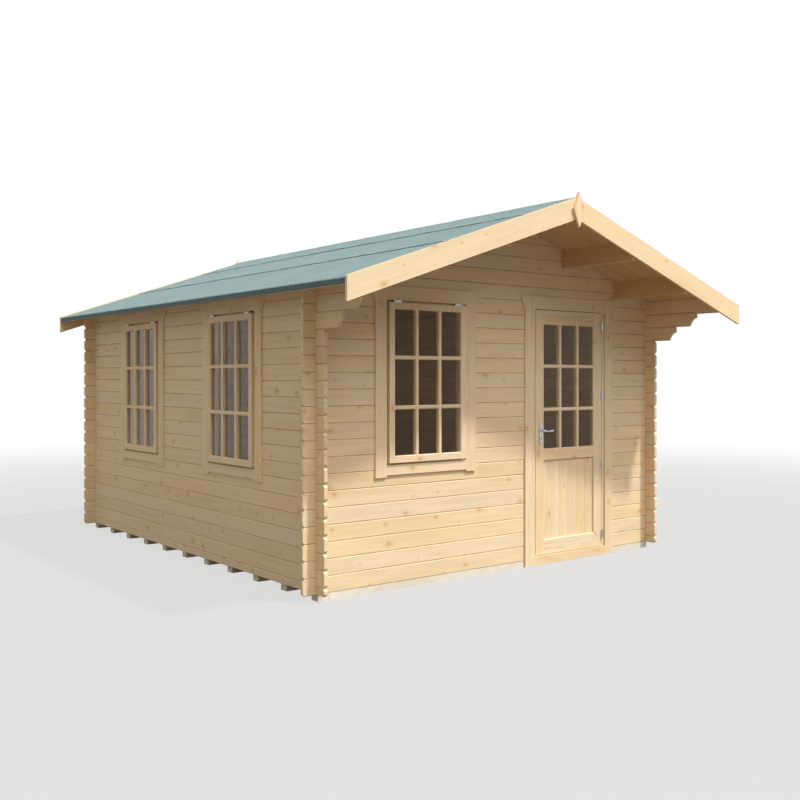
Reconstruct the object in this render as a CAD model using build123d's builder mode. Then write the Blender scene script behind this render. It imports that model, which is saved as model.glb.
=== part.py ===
"""A timber log cabin with a pitched felt roof, three closed windows and one outward-opening door.

Lengths are in millimetres. X runs across the gables, Y from the front gable to the back one and Z up.
The origin is on the ground, below the ridge and half way along the roof.
"""

import os
from math import atan, ceil, cos, floor, sin

from build123d import *

# Walls, over their outer faces
wall_width = 3474
wall_depth = 4076
log_thickness = 28
log_pitch = 114
log_bevel = 5
log_joint = 0.3
log_end = 102
end_bevel = 16
end_bevel_rise = 19
notch_clearance = 0.3

# Bearers and floor
bearer_width = 75
bearer_height = 48
bearer_count = 11
bearer_inset = 15
floor_thickness = 19
floor_clearance = 3

# Corbels: how far the side walls' upper logs run out past the front wall, lowest first
corbel_reach = (313, 520)
nose_height = 66
nose_depth = 66
nose_ledge = 15
nose_hollow = 8

# Roof
roof_slope = 0.3417
deck_thickness = 19
front_overhang = 723
back_overhang = 217
eave_overhang = 260
fascia_thickness = 19
fascia_height = 45
purlin_width = 45
purlin_height = 140
purlin_places = (660, 1298)
felt_thickness = 4
felt_lap = 80
felt_ramp = 32
felt_seam = 1240
cap_reach = 480
barge_height = 156
barge_thickness = 22
barge_rise = 14
finial_width = 115
finial_height = 255
finial_shoulder = 121
finial_rise = 35
finial_thickness = 20

# Openings, measured up from the underside of the logs
head_height = 1994
opening_clearance = 5

# Windows
sash_width = 712
sash_height = 1132
sash_rail = 49
sash_thickness = 40
sash_proud = 31
sash_gap = 15
front_window_place = -786
side_window_places = (1178, 2871)
frame_face = 29
frame_depth = 62
window_stop = 30
casing_width = 96
casing_thickness = 15
casing_flare = 50
casing_head = 100
casing_foot = 70
casing_ear = 15
glass_thickness = 4
glass_bite = 8
glass_setback = 21
rail_bevel = 5

# Door
door_place = 730
leaf_width = 787
leaf_bottom = 29
leaf_thickness = 40
leaf_gap = 5
door_stop = 12
stile_width = 97
top_rail = 116
bottom_rail = 117
lock_rail_low = 781
lock_rail_high = 877
leaf_setback = 15
panel_thickness = 15
door_reveal = 28
door_casing_width = 95
door_casing_foot = 45

# Door hinges, with the lowest and highest set in from the leaf's ends
hinge_count = 4
hinge_foot = 101
hinge_head = 111
barrel_length = 67
barrel_radius = 7.5
hinge_pin_radius = 4
hinge_pin_clearance = 0.05
hinge_plate_thickness = 2
hinge_plate_depth = 28
knuckle_gap = 1

# Door handle
handle_height = 1024
handle_inset = 57
plate_width = 35
plate_height = 163
plate_corner = 11
plate_thickness = 7
plate_drop = 24
spindle_clearance = 0.5
neck_radius = 8
neck_length = 38
lever_length = 120
lever_depth = 20
lever_thickness = 10
lever_sag = 5
keyhole_drop = 62
keyhole_width = 7
keyhole_height = 18

# Worked out from the sizes above
half_width = wall_width / 2
roof_angle = atan(roof_slope)
base = bearer_height
front_reach = front_overhang + barge_thickness + finial_thickness
back_reach = back_overhang + barge_thickness + finial_thickness
front_face = (front_reach - back_reach - wall_depth) / 2
back_face = front_face + wall_depth
roof_front = front_face - front_overhang
roof_back = back_face + back_overhang
roof_length = roof_back - roof_front
frame_gap = frame_face + opening_clearance
log_rows = ceil((head_height + frame_gap) / log_pitch)
head_row = floor((head_height + frame_gap) / log_pitch)
eave_z = base + (log_rows + 0.5) * log_pitch
deck_rise = deck_thickness / cos(roof_angle)
deck_reach = half_width + eave_overhang - felt_thickness - fascia_thickness
fascia_reach = deck_reach + fascia_thickness
roof_reach = half_width + eave_overhang
head_z = base + head_height
side_head_z = head_z - log_pitch / 2
crossing_x = half_width - log_thickness / 2
front_middle = front_face + log_thickness / 2
back_middle = back_face - log_thickness / 2
end_x = half_width + log_end
big = 2 * (wall_width + wall_depth)

os.makedirs("parts", exist_ok=True)


def save(builder, name):
    """Labels a finished piece and writes it."""
    builder.part.label = name
    export_step(builder.part, f"parts/{name}.step")


def roof_z(x):
    """Height of the roof deck's underside at a distance x from the ridge line."""
    return eave_z + roof_slope * (half_width - abs(x))


def across(y):
    """A vertical plane across the cabin at y, whose extrusions run towards the front."""
    return Plane(origin=(0, y, 0), x_dir=(1, 0, 0), z_dir=(0, -1, 0))


def outline(*points):
    """A flat shape with straight edges, through the given corners."""
    with BuildSketch() as shape:
        with BuildLine():
            Polyline(*points, close=True)
        make_face()
    return shape.sketch


def log_section(low, high):
    """One log's cross-section, with its long edges bevelled."""
    half = log_thickness / 2
    bottom = low + log_joint / 2
    top = high - log_joint / 2
    return outline(
        (half - log_bevel, bottom),
        (half, bottom + log_bevel),
        (half, top - log_bevel),
        (half - log_bevel, top),
        (log_bevel - half, top),
        (-half, top - log_bevel),
        (-half, bottom + log_bevel),
        (log_bevel - half, bottom),
    )


def gable_logs(face_y, rows, x_from, x_to):
    """Whole logs that run across the cabin, in the wall whose middle is at face_y."""
    start = Plane(origin=(x_from, face_y, base), x_dir=(0, 1, 0), z_dir=(1, 0, 0))
    with BuildSketch(start) as sections:
        for row in rows:
            add(log_section(row * log_pitch, (row + 1) * log_pitch))
    extrude(sections.sketch, amount=x_to - x_from)


def cut_notches(plane, bands):
    """Cuts notches at a corner crossing, between heights given in log pitches."""
    half = log_thickness / 2 + notch_clearance
    with BuildSketch(plane) as notches:
        for low, high in bands:
            rectangle(-half, half, low * log_pitch - log_joint / 2, high * log_pitch + log_joint / 2)
    extrude(notches.sketch, amount=2 * log_thickness, mode=Mode.SUBTRACT)


def notch_gable_logs(face_y):
    """Notches the lower half of each log that runs across the cabin, to sit on the side log it crosses."""
    bands = [(row, row + 0.5) for row in range(log_rows)] + [(log_rows, log_rows + 0.25)]
    for x in (-crossing_x, crossing_x):
        origin = (x, face_y + log_thickness, base)
        cut_notches(Plane(origin=origin, x_dir=(1, 0, 0), z_dir=(0, -1, 0)), bands)


def notch_side_logs(x):
    """Notches the lower half of each log that runs from front to back, and the top of the highest."""
    bands = [(row - 0.5, row) for row in range(1, log_rows + 1)] + [(log_rows + 0.25, log_rows + 1)]
    for y in (front_middle, back_middle):
        origin = (x - log_thickness, y, base)
        cut_notches(Plane(origin=origin, x_dir=(0, 1, 0), z_dir=(1, 0, 0)), bands)


def bevel_ends(plane, inwards, joints):
    """Bevels log ends above and below each joint. The logs lie to the side of the plane's X given, -1 or 1."""
    with BuildSketch(plane) as bevels:
        for joint in joints:
            middle = joint * log_pitch
            outside = -inwards * end_bevel
            add(outline(
                (outside, middle - 2 * end_bevel_rise),
                (outside, middle + 2 * end_bevel_rise),
                (inwards * end_bevel, middle),
            ))
    extrude(bevels.sketch, amount=2 * log_thickness, mode=Mode.SUBTRACT)


def bevel_gable_ends(face_y):
    """Bevels both ends of the logs that run across the cabin."""
    for side in (-1, 1):
        origin = (side * end_x, face_y + log_thickness, base)
        bevel_ends(Plane(origin=origin, x_dir=(1, 0, 0), z_dir=(0, -1, 0)), -side, range(log_rows + 1))


def bevel_side_ends(x, end_y, inwards, joints):
    """Bevels one end of the logs that run from front to back."""
    origin = (x - log_thickness, end_y, base)
    bevel_ends(Plane(origin=origin, x_dir=(0, 1, 0), z_dir=(1, 0, 0)), inwards, joints)


def cut_above_roof():
    """Trims the current part to the underside of the roof deck."""
    with BuildSketch(across(roof_back + log_pitch)) as above:
        add(outline((-big, roof_z(big)), (0, roof_z(0)), (big, roof_z(big)), (big, big), (-big, big)))
    extrude(above.sketch, amount=roof_length + 2 * log_pitch, mode=Mode.SUBTRACT)


def purlin_section(x):
    """A purlin's cross-section, whose top edge follows the roof."""
    half = purlin_width / 2
    low = roof_z(x) - purlin_height
    peak = [(0, roof_z(0))] if x == 0 else []
    return outline(
        (x - half, low),
        (x + half, low),
        (x + half, roof_z(x + half)),
        *peak,
        (x - half, roof_z(x - half)),
    )


def all_purlins():
    """Distances of every purlin from the ridge line."""
    return [0] + [side * place for side in (-1, 1) for place in purlin_places]


def cut_purlins():
    """Cuts the slots through which the purlins pass a gable."""
    half = purlin_width / 2 + notch_clearance
    with BuildSketch(across(roof_back)) as slots:
        for x in all_purlins():
            low = roof_z(x) - purlin_height - notch_clearance
            rectangle(x - half, x + half, low, roof_z(0) + purlin_height)
    extrude(slots.sketch, amount=roof_length, mode=Mode.SUBTRACT)


def wall_plane(side, place, height):
    """A plane on a wall's outer face, with its Z outwards, at an opening's head."""
    if side == "front":
        return Plane(origin=(place, front_face, height), x_dir=(1, 0, 0), z_dir=(0, -1, 0))
    return Plane(origin=(-half_width, front_face + place, height), x_dir=(0, -1, 0), z_dir=(-1, 0, 0))


def rectangle(x_low, x_high, y_low, y_high, mode=Mode.ADD):
    """A rectangle in the current sketch, given by its edges."""
    with Locations(((x_low + x_high) / 2, (y_low + y_high) / 2)):
        Rectangle(x_high - x_low, y_high - y_low, mode=mode)


def cut_opening(plane, half, drop):
    """Cuts an opening through a log wall: half its width, and its drop below the head."""
    with BuildSketch(plane.offset(log_thickness)) as hole:
        rectangle(-half, half, -drop, frame_gap)
    extrude(hole.sketch, amount=-3 * log_thickness, mode=Mode.SUBTRACT)


window_half = sash_width / 2 + sash_gap + frame_gap
window_drop = sash_gap + sash_height + sash_gap + frame_gap
door_half = leaf_width / 2 + leaf_gap + frame_gap
front_window_plane = wall_plane("front", front_window_place, head_z)
side_window_planes = [wall_plane("left", place, side_head_z) for place in side_window_places]
door_plane = wall_plane("front", door_place, head_z)

# The bearers lie across the cabin, from below the front wall to below the back wall.
with BuildPart() as bearers:
    first = front_face + bearer_width / 2
    spacing = (wall_depth - bearer_width) / (bearer_count - 1)
    for count in range(bearer_count):
        with Locations((0, first + count * spacing, 0)):
            Box(
                wall_width - 2 * bearer_inset,
                bearer_width,
                bearer_height,
                align=(Align.CENTER, Align.CENTER, Align.MIN),
            )
save(bearers, "bearers")

with BuildPart() as floor_deck:
    inner = log_thickness + floor_clearance
    with BuildSketch(Plane.XY.offset(base)):
        rectangle(inner - half_width, half_width - inner, front_face + inner, back_face - inner)
        rectangle(
            door_place - door_half,
            door_place + door_half,
            front_face,
            front_face + frame_depth + floor_clearance,
            mode=Mode.SUBTRACT,
        )
    extrude(amount=floor_thickness)
save(floor_deck, "floor")

with BuildPart() as front_wall_left:
    gable_logs(front_middle, range(head_row), -end_x, door_place - door_half)
    notch_gable_logs(front_middle)
    bevel_gable_ends(front_middle)
    cut_opening(front_window_plane, window_half, window_drop)
save(front_wall_left, "front_wall_left")

with BuildPart() as front_wall_right:
    gable_logs(front_middle, range(head_row), door_place + door_half, end_x)
    notch_gable_logs(front_middle)
    bevel_gable_ends(front_middle)
save(front_wall_right, "front_wall_right")

gable_rows = ceil((roof_z(0) - base) / log_pitch)

with BuildPart() as front_gable:
    gable_logs(front_middle, range(head_row, gable_rows), -end_x, end_x)
    notch_gable_logs(front_middle)
    bevel_gable_ends(front_middle)
    cut_opening(front_window_plane, window_half, window_drop)
    cut_opening(door_plane, door_half, head_height)
    cut_purlins()
    cut_above_roof()
save(front_gable, "front_gable")

with BuildPart() as back_wall:
    gable_logs(back_middle, range(log_rows), -end_x, end_x)
    notch_gable_logs(back_middle)
    bevel_gable_ends(back_middle)
save(back_wall, "back_wall")

with BuildPart() as back_gable:
    gable_logs(back_middle, range(log_rows, gable_rows), -end_x, end_x)
    notch_gable_logs(back_middle)
    bevel_gable_ends(back_middle)
    cut_purlins()
    cut_above_roof()
save(back_gable, "back_gable")


def side_logs(x, rows, front_end, back_end, extra=0):
    """Whole logs that run from front to back, half a log out of step with the gable walls' logs."""
    start = Plane(origin=(x, front_end, base), x_dir=(-1, 0, 0), z_dir=(0, 1, 0))
    with BuildSketch(start) as sections:
        for row in rows:
            add(log_section(max(row - 0.5, 0) * log_pitch, (row + 0.5) * log_pitch + extra))
    extrude(sections.sketch, amount=back_end - front_end)


def cut_nose(x, row, reach):
    """Undercuts the front end of one corbel log with a ledge and a hollow curve."""
    low = base + (row - 0.5) * log_pitch
    tip = front_face - reach
    outside = tip - nose_depth
    beside = Plane(origin=(x - log_thickness, 0, 0), x_dir=(0, 1, 0), z_dir=(1, 0, 0))
    with BuildSketch(beside) as undercut:
        with BuildLine():
            SagittaArc((tip + nose_ledge, low + nose_height), (tip + nose_depth, low), nose_hollow)
            Polyline(
                (tip + nose_depth, low),
                (outside, low),
                (outside, low + nose_height),
                (tip + nose_ledge, low + nose_height),
            )
        make_face()
    extrude(undercut.sketch, amount=2 * log_thickness, mode=Mode.SUBTRACT)


# A side wall: plain rows, then the corbels, then the top row, which runs the roof's whole length.
corbel_row = log_rows - len(corbel_reach)
side_front = front_face - log_end
side_back = back_face + log_end
with BuildPart() as right_wall:
    side_logs(crossing_x, range(corbel_row), side_front, side_back)
    bevel_side_ends(crossing_x, side_front, 1, [0] + [row + 0.5 for row in range(corbel_row)])
    for row, reach in enumerate(corbel_reach, start=corbel_row):
        side_logs(crossing_x, [row], front_face - reach, side_back)
        cut_nose(crossing_x, row, reach)
    bevel_side_ends(crossing_x, side_back, -1, [0] + [row + 0.5 for row in range(log_rows)])
    bevel_rise = log_thickness * roof_slope + log_joint
    side_logs(crossing_x, [log_rows], roof_front, roof_back, bevel_rise)
    notch_side_logs(crossing_x)
    cut_above_roof()
save(right_wall, "right_wall")

with BuildPart() as left_wall:
    mirror(right_wall.part, about=Plane.YZ)
    for plane in side_window_planes:
        cut_opening(plane, window_half, window_drop)
save(left_wall, "left_wall")

with BuildPart() as ridge_purlin:
    with BuildSketch(across(roof_back)):
        add(purlin_section(0))
    extrude(amount=roof_length)
save(ridge_purlin, "ridge_purlin")

with BuildPart() as side_purlins:
    with BuildSketch(across(roof_back)):
        for x in all_purlins():
            if x != 0:
                add(purlin_section(x))
    extrude(amount=roof_length)
save(side_purlins, "side_purlins")


def deck_top(x):
    """Height of the roof deck's upper face."""
    return roof_z(x) + deck_rise


def on_deck(side, along, height):
    """A point at a distance down the slope from the ridge, and at a height off the deck."""
    x = along * cos(roof_angle) + height * sin(roof_angle)
    z = deck_top(0) - along * sin(roof_angle) + height * cos(roof_angle)
    return (side * x, z)


def ridge_point(height):
    """The point on the ridge line at a height off the deck."""
    return (0, deck_top(0) + height / cos(roof_angle))


for side, name in ((-1, "left"), (1, "right")):
    with BuildPart() as roof_deck:
        with BuildSketch(across(roof_back)):
            with BuildLine():
                Polyline(
                    (0, roof_z(0)),
                    (side * deck_reach, roof_z(deck_reach)),
                    (side * deck_reach, deck_top(deck_reach)),
                    (0, deck_top(0)),
                    close=True,
                )
            make_face()
        extrude(amount=roof_length)
    save(roof_deck, f"roof_deck_{name}")

    # The felt is laid in two courses and folded down over the fascia.
    fold_x = fascia_reach + felt_thickness
    fold_low = deck_top(deck_reach) - fascia_height
    fold_along = (fold_x - felt_thickness * sin(roof_angle)) / cos(roof_angle)
    with BuildPart() as roof_felt:
        with BuildSketch(across(roof_back)):
            with BuildLine():
                Polyline(
                    (0, deck_top(0)),
                    (side * fascia_reach, deck_top(fascia_reach)),
                    (side * fascia_reach, fold_low),
                    (side * fold_x, fold_low),
                    on_deck(side, fold_along, felt_thickness),
                    on_deck(side, felt_seam, felt_thickness),
                    on_deck(side, felt_seam, 2 * felt_thickness),
                    on_deck(side, felt_seam - felt_lap, 2 * felt_thickness),
                    on_deck(side, felt_seam - felt_lap - felt_ramp, felt_thickness),
                    ridge_point(felt_thickness),
                    close=True,
                )
            make_face()
        extrude(amount=roof_length)
    save(roof_felt, f"roof_felt_{name}")

    with BuildPart() as fascia:
        with BuildSketch(across(roof_back)):
            with BuildLine():
                Polyline(
                    (side * deck_reach, deck_top(deck_reach)),
                    (side * fascia_reach, deck_top(fascia_reach)),
                    (side * fascia_reach, fold_low),
                    (side * deck_reach, fold_low),
                    close=True,
                )
            make_face()
        extrude(amount=roof_length)
    save(fascia, f"eave_board_{name}")

with BuildPart() as ridge_felt:
    with BuildSketch(across(roof_back)):
        with BuildLine():
            Polyline(
                on_deck(-1, cap_reach, felt_thickness),
                on_deck(-1, cap_reach, 2 * felt_thickness),
                ridge_point(2 * felt_thickness),
                on_deck(1, cap_reach, 2 * felt_thickness),
                on_deck(1, cap_reach, felt_thickness),
                ridge_point(felt_thickness),
                close=True,
            )
        make_face()
    extrude(amount=roof_length)
save(ridge_felt, "ridge_felt")


def barge_top(x):
    """Height of a barge board's top edge."""
    return deck_top(x) + barge_rise


for end_y, end_name in ((roof_front, "front"), (roof_back + barge_thickness, "back")):
    for side, side_name in ((-1, "left"), (1, "right")):
        with BuildPart() as barge_board:
            with BuildSketch(across(end_y)):
                with BuildLine():
                    Polyline(
                        (0, barge_top(0) - barge_height),
                        (side * roof_reach, barge_top(roof_reach) - barge_height),
                        (side * roof_reach, barge_top(roof_reach)),
                        (0, barge_top(0)),
                        close=True,
                    )
                make_face()
            extrude(amount=barge_thickness)
        save(barge_board, f"{end_name}_barge_board_{side_name}")

finial_top = barge_top(0) + finial_rise
for end_y, end_name in (
    (roof_front - barge_thickness, "front"),
    (roof_back + barge_thickness + finial_thickness, "back"),
):
    with BuildPart() as finial:
        with BuildSketch(across(end_y)):
            with BuildLine():
                Polyline(
                    (0, finial_top),
                    (finial_width / 2, finial_top - finial_shoulder),
                    (0, finial_top - finial_height),
                    (-finial_width / 2, finial_top - finial_shoulder),
                    close=True,
                )
            make_face()
        extrude(amount=finial_thickness)
    save(finial, f"{end_name}_finial")


def casing(plane, half, side_drop, foot_low, foot_high, width):
    """Cover boards round an opening: two sides, a flared head and, on a window, a foot."""
    low = half + width
    high = low + casing_flare
    with BuildSketch(plane) as boards:
        for x_low in (-half - width, half):
            rectangle(x_low, x_low + width, -side_drop, -log_joint)
        add(outline((-low, 0), (low, 0), (high, casing_head), (-high, casing_head)))
        rectangle(log_joint - half, half - log_joint, -foot_low, -foot_high)
    extrude(boards.sketch, amount=casing_thickness)


def box_frame(plane, half, drop, sill_face, stop_depth, stop_width):
    """A lining that fills an opening, with a stop that a sash or a door shuts against."""
    with BuildSketch(plane) as lining:
        rectangle(-half - frame_face, half + frame_face, -drop - sill_face, frame_face)
        rectangle(-half, half, -drop, 0, mode=Mode.SUBTRACT)
    extrude(lining.sketch, amount=-frame_depth)
    with BuildSketch(plane.offset(-stop_depth)) as stop:
        rectangle(-half, half, -drop, 0)
        rectangle(stop_width - half, half - stop_width, stop_width - drop, -stop_width, mode=Mode.SUBTRACT)
    extrude(stop.sketch, amount=stop_depth - frame_depth)


def window(name, plane):
    """One closed window: casing, frame, sash and glass."""
    half = sash_width / 2
    low = sash_gap + sash_height
    with BuildPart() as window_casing:
        foot_high = low + sash_gap
        foot_low = foot_high + casing_foot
        casing(plane, half + sash_gap, foot_low + casing_ear, foot_low, foot_high, casing_width)
    save(window_casing, f"{name}_casing")

    with BuildPart() as window_frame:
        stop_depth = sash_thickness - sash_proud + log_joint
        box_frame(plane, half + sash_gap, low + sash_gap, frame_face, stop_depth, window_stop)
    save(window_frame, f"{name}_frame")

    back = plane.offset(sash_proud - sash_thickness)
    rebate = sash_thickness - glass_setback
    with BuildPart() as window_sash:
        with BuildSketch(back):
            rectangle(-half, half, -low, -sash_gap)
            rectangle(sash_rail - half, half - sash_rail, sash_rail - low, -sash_gap - sash_rail, mode=Mode.SUBTRACT)
        extrude(amount=sash_thickness)
        with BuildSketch(back):
            lip = sash_rail - glass_bite
            rectangle(lip - half, half - lip, lip - low, -sash_gap - lip)
        extrude(amount=rebate, mode=Mode.SUBTRACT)
        front = window_sash.faces().sort_by(Axis(plane.origin, plane.z_dir))[-1]
        chamfer(front.inner_wires()[0].edges(), rail_bevel)
    save(window_sash, f"{name}_sash")

    with BuildPart() as window_glass:
        lip = sash_rail - glass_bite + log_joint
        with BuildSketch(plane.offset(sash_proud - glass_setback)):
            rectangle(lip - half, half - lip, lip - low, -sash_gap - lip)
        extrude(amount=-glass_thickness)
    save(window_glass, f"{name}_glass")


window("front_window", front_window_plane)
window("left_front_window", side_window_planes[0])
window("left_back_window", side_window_planes[1])

# The door, in a lining with a sill, shuts from outside against the lining's stop.
leaf_half = leaf_width / 2
leaf_top = -leaf_gap
leaf_foot = leaf_bottom - head_height
opening_half = leaf_half + leaf_gap
sill_face = leaf_bottom - leaf_gap

with BuildPart() as door_frame:
    stop_depth = leaf_thickness + leaf_gap
    box_frame(door_plane, opening_half, head_height - sill_face, sill_face, stop_depth, door_stop)
save(door_frame, "door_frame")

with BuildPart() as door_casing:
    reveal_half = opening_half + door_reveal
    foot_low = head_height + door_casing_foot
    casing(door_plane, reveal_half, foot_low, foot_low, head_height - sill_face, door_casing_width)
save(door_casing, "door_casing")

glazing_half = leaf_half - stile_width
glazing_top = leaf_top - top_rail
glazing_low = lock_rail_high - head_height
panel_top = lock_rail_low - head_height
panel_low = leaf_foot + bottom_rail
spindle_x = handle_inset - leaf_half
spindle_y = handle_height - head_height
leaf_back = door_plane.offset(-leaf_thickness)


def leaf_opening(grow, low, high):
    """A rectangle between the stiles, larger than the daylight opening all round by grow."""
    rectangle(-glazing_half - grow, glazing_half + grow, low - grow, high + grow)


with BuildPart() as door_leaf:
    with BuildSketch(leaf_back):
        rectangle(-leaf_half, leaf_half, leaf_foot, leaf_top)
        rectangle(-glazing_half, glazing_half, glazing_low, glazing_top, mode=Mode.SUBTRACT)
        rectangle(-glazing_half, glazing_half, panel_low, panel_top, mode=Mode.SUBTRACT)
        with Locations((spindle_x, spindle_y)):
            Circle(neck_radius + spindle_clearance, mode=Mode.SUBTRACT)
    extrude(amount=leaf_thickness)
    with BuildSketch(leaf_back):
        leaf_opening(glass_bite, glazing_low, glazing_top)
        leaf_opening(glass_bite, panel_low, panel_top)
    extrude(amount=leaf_thickness - leaf_setback, mode=Mode.SUBTRACT)
    front = door_leaf.faces().sort_by(Axis(door_plane.origin, door_plane.z_dir))[-1]
    moulded = [wire.edges() for wire in front.inner_wires() if len(wire.edges()) == 4]
    chamfer([edge for edges in moulded for edge in edges], rail_bevel)
save(door_leaf, "door_leaf")

with BuildPart() as door_glass:
    with BuildSketch(door_plane.offset(-leaf_setback)):
        leaf_opening(glass_bite - log_joint, glazing_low, glazing_top)
    extrude(amount=-glass_thickness)
save(door_glass, "door_glass")

with BuildPart() as door_panel:
    with BuildSketch(door_plane.offset(-leaf_setback)):
        leaf_opening(glass_bite - log_joint, panel_low, panel_top)
    extrude(amount=-panel_thickness)
save(door_panel, "door_panel")

# Each hinge is a pair of plates in the gap beside the leaf, with two knuckles on one pin.
axis_x = door_place + leaf_half + leaf_gap / 2
axis_y = front_face - barrel_radius
knuckle_length = (barrel_length - knuckle_gap) / 2
lowest_hinge = base + leaf_bottom + hinge_foot
highest_hinge = head_z - leaf_gap - hinge_head
hinge_pitch = (highest_hinge - lowest_hinge) / (hinge_count - 1)
hinge_heights = [lowest_hinge + count * hinge_pitch for count in range(hinge_count)]


def knuckle(low, side):
    """A knuckle and its plate, standing from low. The plate lies on the side given, -1 or 1."""
    edge = leaf_gap / 2
    with BuildSketch(Plane.XY.offset(low)) as section:
        with Locations((axis_x, axis_y)):
            Circle(barrel_radius)
        rectangle(
            axis_x + min(side * edge, side * (edge - hinge_plate_thickness)),
            axis_x + max(side * edge, side * (edge - hinge_plate_thickness)),
            axis_y,
            front_face + hinge_plate_depth,
        )
    extrude(section.sketch, amount=knuckle_length)


with BuildPart() as hinge_frame_knuckles:
    for height in hinge_heights:
        knuckle(height - barrel_length / 2, 1)
        with Locations((axis_x, axis_y, height - barrel_length / 2)):
            Cylinder(
                hinge_pin_radius,
                barrel_length - 2 * knuckle_gap,
                align=(Align.CENTER, Align.CENTER, Align.MIN),
            )
save(hinge_frame_knuckles, "hinge_frame_knuckles")

with BuildPart() as hinge_leaf_knuckles:
    for height in hinge_heights:
        low = height + knuckle_gap / 2
        knuckle(low, -1)
        with Locations((axis_x, axis_y, low)):
            Cylinder(
                hinge_pin_radius + hinge_pin_clearance,
                knuckle_length - knuckle_gap,
                align=(Align.CENTER, Align.CENTER, Align.MIN),
                mode=Mode.SUBTRACT,
            )
save(hinge_leaf_knuckles, "hinge_leaf_knuckles")

# A plate on each face of the leaf carries the lever's neck and has a keyhole below it.
with BuildPart() as handle_plates:
    for face in (door_plane, leaf_back.offset(-plate_thickness)):
        with BuildSketch(face) as plates:
            with Locations((spindle_x, spindle_y - plate_drop)):
                RectangleRounded(plate_width, plate_height, plate_corner)
            with Locations((spindle_x, spindle_y)):
                Circle(neck_radius + spindle_clearance, mode=Mode.SUBTRACT)
            with Locations((spindle_x, spindle_y - keyhole_drop)):
                SlotOverall(keyhole_height, keyhole_width, rotation=90, mode=Mode.SUBTRACT)
        extrude(plates.sketch, amount=plate_thickness)
save(handle_plates, "handle_plates")

lever_front = door_plane.offset(neck_length)
lever_back = leaf_back.offset(-neck_length - lever_thickness)
with BuildPart() as door_lever:
    with BuildSketch(lever_back):
        with Locations((spindle_x, spindle_y)):
            Circle(neck_radius)
    extrude(amount=leaf_thickness + 2 * neck_length + 2 * lever_thickness)
    for plane in (lever_front, lever_back):
        with BuildSketch(plane) as blade:
            with BuildLine(mode=Mode.PRIVATE) as spine:
                ThreePointArc(
                    (spindle_x, spindle_y),
                    (spindle_x + lever_length / 2, spindle_y - lever_sag),
                    (spindle_x + lever_length - lever_depth / 2, spindle_y),
                )
            trace(spine.line, lever_depth)
        extrude(blade.sketch, amount=lever_thickness)
save(door_lever, "door_lever")
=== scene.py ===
"""Dresses the log cabin: pine with its grain and knots, felt, glazing bars, boards and ironmongery.

Lengths are in metres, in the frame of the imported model: X across the gables, Y from the front gable to the
back one and Z up, with the ground at zero.
"""

from math import atan2, cos, pi, sin

import bmesh
import bpy
from mathutils import Matrix, Vector, noise


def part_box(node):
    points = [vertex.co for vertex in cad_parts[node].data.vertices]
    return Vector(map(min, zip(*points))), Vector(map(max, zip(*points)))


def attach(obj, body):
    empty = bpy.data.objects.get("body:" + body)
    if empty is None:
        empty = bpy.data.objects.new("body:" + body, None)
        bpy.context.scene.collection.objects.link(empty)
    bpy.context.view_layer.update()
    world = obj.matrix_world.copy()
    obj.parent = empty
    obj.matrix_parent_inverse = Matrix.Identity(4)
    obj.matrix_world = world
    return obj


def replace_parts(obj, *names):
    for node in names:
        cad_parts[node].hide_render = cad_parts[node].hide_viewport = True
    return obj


bl_info = {
    "name": "Log cabin finishes",
    "version": (1, 0, 0),
    "blender": (4, 5, 0),
    "location": "View3D > Sidebar > Cabin",
    "description": "Timber, felt, glazing and ironmongery for a log cabin",
    "category": "Object",
}

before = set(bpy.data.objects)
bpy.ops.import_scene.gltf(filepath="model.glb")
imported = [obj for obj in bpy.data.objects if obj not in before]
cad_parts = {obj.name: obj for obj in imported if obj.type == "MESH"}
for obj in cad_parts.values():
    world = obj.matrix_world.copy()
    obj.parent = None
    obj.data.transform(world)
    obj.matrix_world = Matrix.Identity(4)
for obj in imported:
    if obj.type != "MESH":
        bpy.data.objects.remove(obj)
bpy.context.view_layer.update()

# Logs: their height in a wall, thickness and bevel, the height of the lowest, and the walls' outer faces
LOG_PITCH = 0.114
LOG_THICKNESS = 0.028
LOG_BEVEL = 0.005
LOGS_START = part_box("front_wall_left")[0].z
FRONT_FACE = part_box("front_wall_left")[0].y
BACK_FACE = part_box("back_wall")[1].y
SIDE_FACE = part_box("right_wall")[1].x

# Roof planes, from the boxes of decks, felt and ridge purlin, and the deck's own thickness and slope
ROOF_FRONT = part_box("roof_deck_left")[0].y
ROOF_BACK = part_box("roof_deck_left")[1].y
DECK_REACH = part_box("roof_deck_right")[1].x
FELT_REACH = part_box("roof_felt_right")[1].x
RIDGE_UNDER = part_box("ridge_purlin")[1].z
DECK_THICKNESS = 0.019
ROOF_SLOPE = 0.3417
ROOF_ANGLE = atan2(ROOF_SLOPE, 1)
DECK_RISE = DECK_THICKNESS / cos(ROOF_ANGLE)
RIDGE_TOP = RIDGE_UNDER + DECK_RISE

# Cover boards round the openings: their width, how far the head flares past them, and its height
CASING_WIDTH = 0.096
CASING_FLARE = 0.05
CASING_HEAD = 0.1

# Linings of the openings: the width of their face that shows
LINING_FACE = 0.029

# Glazing: how deep a pane lies in its rebate, and its distance from the bars
GLASS_BITE = 0.0077
GLASS_GAP = 0.0003

# Boards side by side: the gap between two, what one of the floor covers, and the bevel of close ones
BOARD_GAP = 0.0004
FLOOR_COVER = 0.12
CLOSE_GROOVE = 0.0012

# Pine: the width of a growth ring, and how deep the grain stands
RING_WIDTH = 0.0042
GRAIN_DEPTH = 0.0006

WINDOWS = ("front_window", "left_front_window", "left_back_window")


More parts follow.
